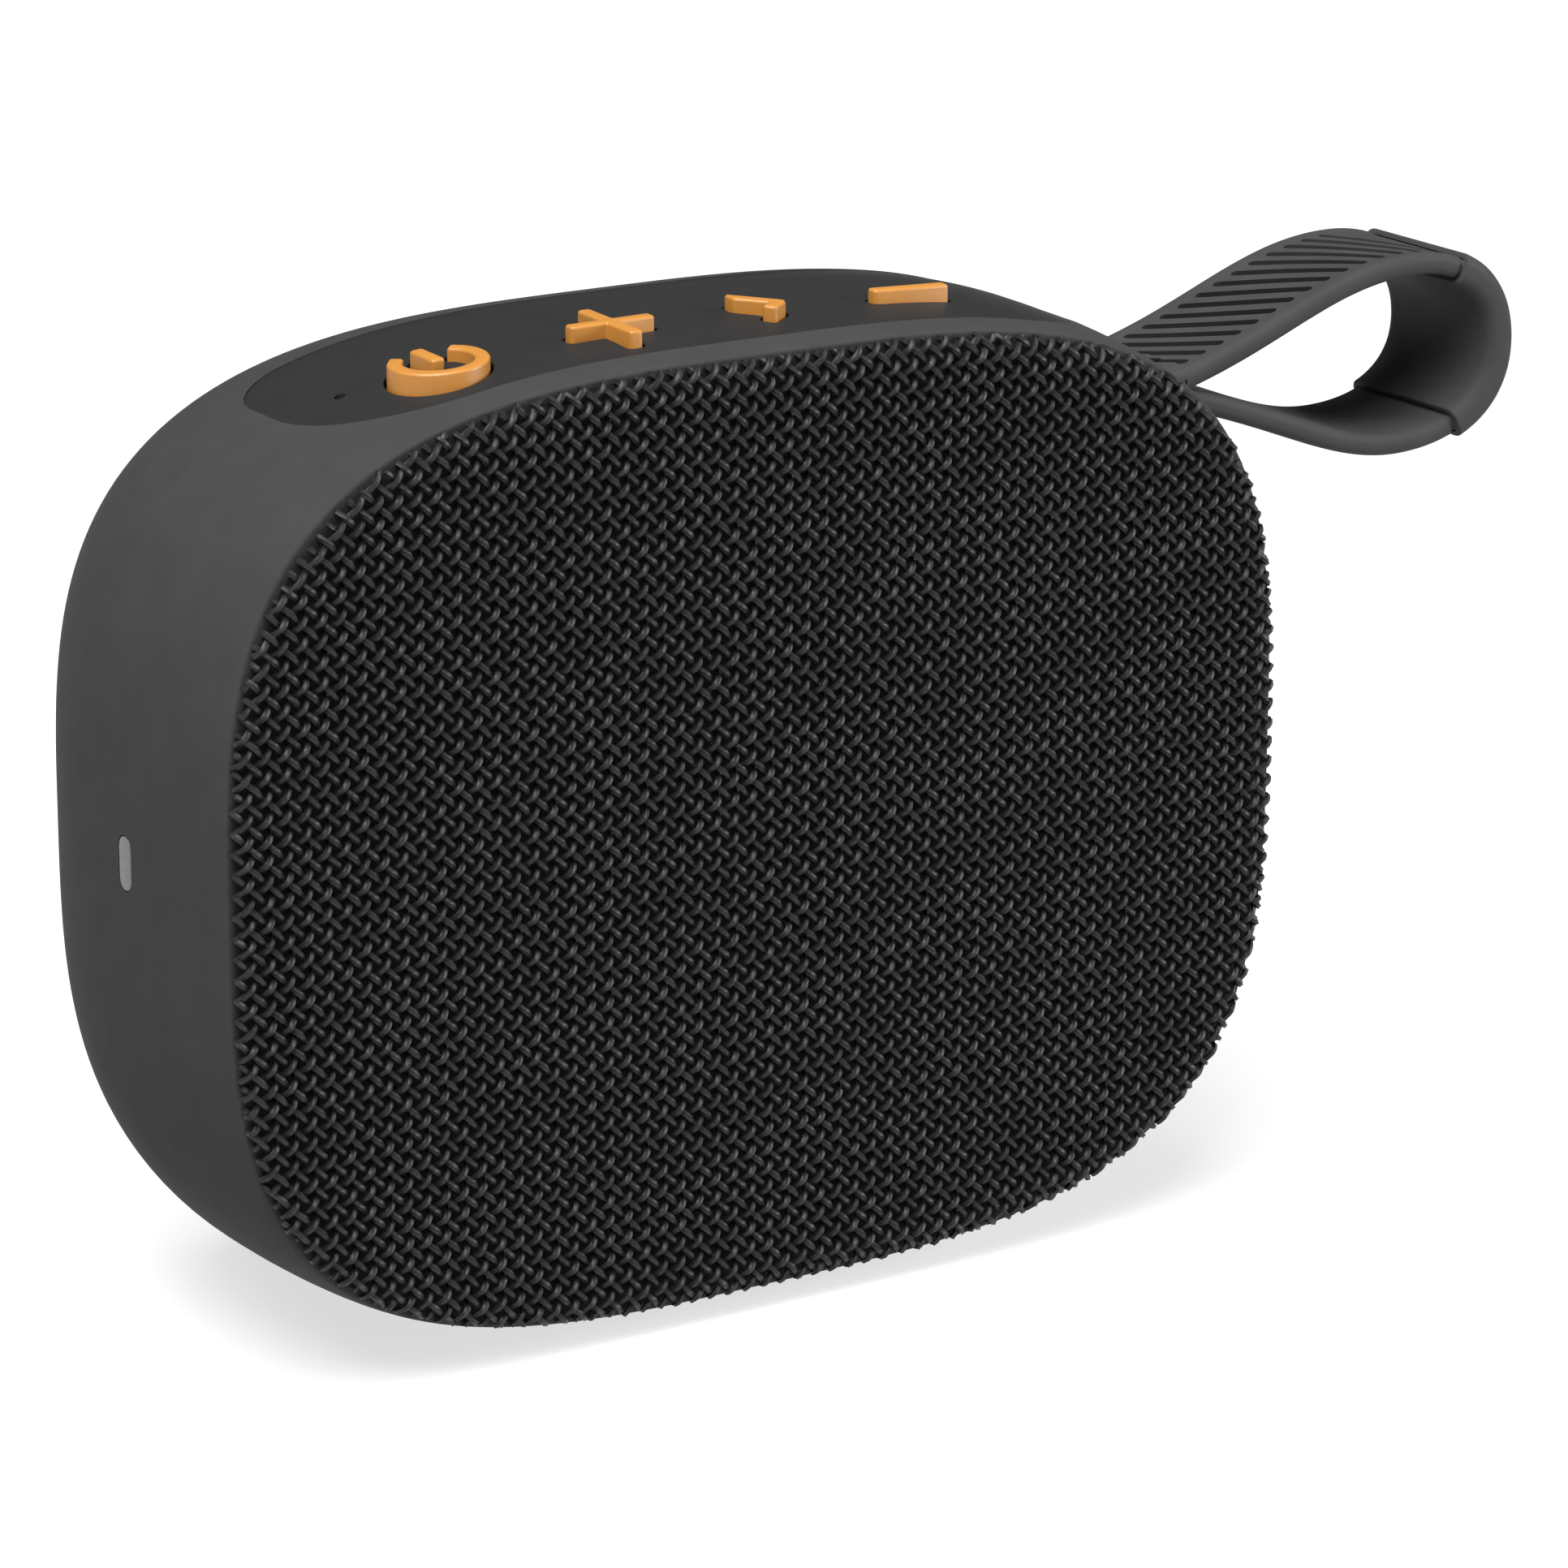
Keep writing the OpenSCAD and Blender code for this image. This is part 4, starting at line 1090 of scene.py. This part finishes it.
def neck_block():
    """The loop's root: the bulb on the pin and the neck where the two legs meet."""
    lean = math.degrees(math.asin(NECK_H / 2 / BULB_R))
    half = STRAP_T / 2

    def side(s):
        return tuple(loop_point(s) + half * loop_normal(s))

    points = [side(0.03), side(0)] + arc(*PIN, BULB_R, lean, 360 - lean, 28) + [side(4), side(3.97)]
    half_w = STRAP_W / 2
    return rod_along_y("neck", counter_clockwise(points), STRAP_Y - half_w, STRAP_Y + half_w, 0.6)


def make_band():
    """The ribbed band, narrowed in a fine groove where it enters each end of the sleeve."""
    section = band_section(STRAP_W, STRAP_T, 0.85, RIM_DISH)
    first, last = SLEEVE_SPAN
    groove = [(-0.032, 0), (-0.024, 0.08), (-0.018, GROOVE), (0, GROOVE), (0.01, 0)]
    stations = [(s, 0) for s in np.linspace(0, first - 0.04, 60)]
    stations += [(first + step, depth) for step, depth in groove]
    stations += [(s, 0) for s in np.linspace(first + 0.04, last - 0.04, 44)]
    stations += [(last - step, depth) for step, depth in reversed(groove)]
    stations += [(s, 0) for s in np.linspace(last + 0.04, 4, 60)]
    band = lofted("band", [loop_ring(inset(section, depth), s) for s, depth in stations])
    cut(band, slot_cutters())
    neck = neck_block()
    cut(neck, slot_cutters())
    return piece(joined("loop_band", [band, neck]), "finger_loop", "silicone", "strap_band")


def make_sleeve():
    """The thicker sleeve round the loop's bend, hollow where the band runs through it."""
    grow = (SLEEVE_T - STRAP_T) / 2
    outer = band_section(STRAP_W + 2 * grow, SLEEVE_T, 1.2)
    inner = band_section(STRAP_W + 0.02, STRAP_T + 0.02, 0.8)
    first, last = SLEEVE_SPAN
    stations = np.linspace(first, last, 56)
    ends = edge_steps(SLEEVE_EDGE, 3)
    rings = [loop_ring(inset(outer, cut_in), first, drop) for cut_in, drop in reversed(ends)]
    rings += [loop_ring(outer, s) for s in stations[1:-1]]
    rings += [loop_ring(inset(outer, cut_in), last, -drop) for cut_in, drop in ends]
    rings += [loop_ring(inner, s) for s in reversed(stations)]
    return piece(lofted("loop_sleeve", rings, closed=True), "finger_loop", "silicone", "strap_sleeve")


# ---- Studio ----

CAMERA_AT = (-0.28074, -0.46238, 0.20696)
CAMERA_TURN = (-32.53, 16.70, 0.24)
LENS = 140.1
SENSOR_W = 36
FLOOR_SIZE = 6
FLOOR_COLOUR = (0.3, 0.3, 0.3)
FLOOR_GLOW = 0.68
WORLD_LIGHT = 0.08
KEY_LIGHT = 60
KEY_LIGHT_AT = (-0.5, -0.35, 1.4)
KEY_LIGHT_SIZE = (1.2, 1.2)
SIDE_LIGHT = 18
SIDE_LIGHT_AT = (1.15, -0.75, 0.4)
SIDE_LIGHT_SIZE = (0.6, 0.6)


def make_camera():
    """The photo's view: azimuth and elevation round the object, and a small roll."""
    turn, rise, roll = (math.radians(a) for a in CAMERA_TURN)
    back = Vector((math.sin(turn) * math.cos(rise), -math.cos(turn) * math.cos(rise), math.sin(rise)))
    right = Vector((math.cos(turn), math.sin(turn), 0))
    up = back.cross(right)
    across = right * math.cos(roll) + up * math.sin(roll)
    upward = up * math.cos(roll) - right * math.sin(roll)
    data = bpy.data.cameras.new("camera")
    data.lens = LENS
    data.sensor_width = SENSOR_W
    camera = bpy.data.objects.new("camera", data)
    camera.matrix_world = Matrix((
        (across.x, upward.x, back.x, CAMERA_AT[0]),
        (across.y, upward.y, back.y, CAMERA_AT[1]),
        (across.z, upward.z, back.z, CAMERA_AT[2]),
        (0, 0, 0, 1),
    ))
    bpy.context.scene.collection.objects.link(camera)
    bpy.context.scene.camera = camera


def area_light(name, place, size, power, aim=(0, 0, 0.045)):
    data = bpy.data.lights.new(name, "AREA")
    data.shape = "RECTANGLE"
    data.size, data.size_y = size
    data.energy = power
    lamp = bpy.data.objects.new(name, data)
    lamp.location = place
    lamp.rotation_euler = (Vector(aim) - Vector(place)).to_track_quat("-Z", "Y").to_euler()
    bpy.context.scene.collection.objects.link(lamp)


def make_floor():
    """A pale sheet that glows softly, like a light table."""
    bpy.ops.mesh.primitive_plane_add(size=FLOOR_SIZE)
    floor = bpy.context.object
    floor.name = "floor"
    paper = surface("floor_paper", FLOOR_COLOUR, 0.8, grain=0.02, mottle=0.01, bump=0.02, gloss=0.1)
    shader = paper.node_tree.nodes["Principled BSDF"]
    shader.inputs["Emission Color"].default_value = (1, 1, 1, 1)
    shader.inputs["Emission Strength"].default_value = FLOOR_GLOW
    floor.data.materials.append(paper)


def make_world():
    world = bpy.data.worlds.new("studio")
    world.use_nodes = True
    backdrop = world.node_tree.nodes["Background"]
    backdrop.inputs["Color"].default_value = (1, 1, 1, 1)
    backdrop.inputs["Strength"].default_value = WORLD_LIGHT
    bpy.context.scene.world = world


def make_studio():
    make_floor()
    make_world()
    area_light("key", KEY_LIGHT_AT, KEY_LIGHT_SIZE, KEY_LIGHT)
    area_light("side", SIDE_LIGHT_AT, SIDE_LIGHT_SIZE, SIDE_LIGHT)
    bpy.context.scene.view_settings.view_transform = "Standard"


make_camera()
dress_cad_nodes()
make_shell()
make_panel()
for key_node in KEYS:
    make_key(key_node)
make_mark()
make_foot()
make_port_cover()
make_grille()
make_band()
make_sleeve()
make_studio()
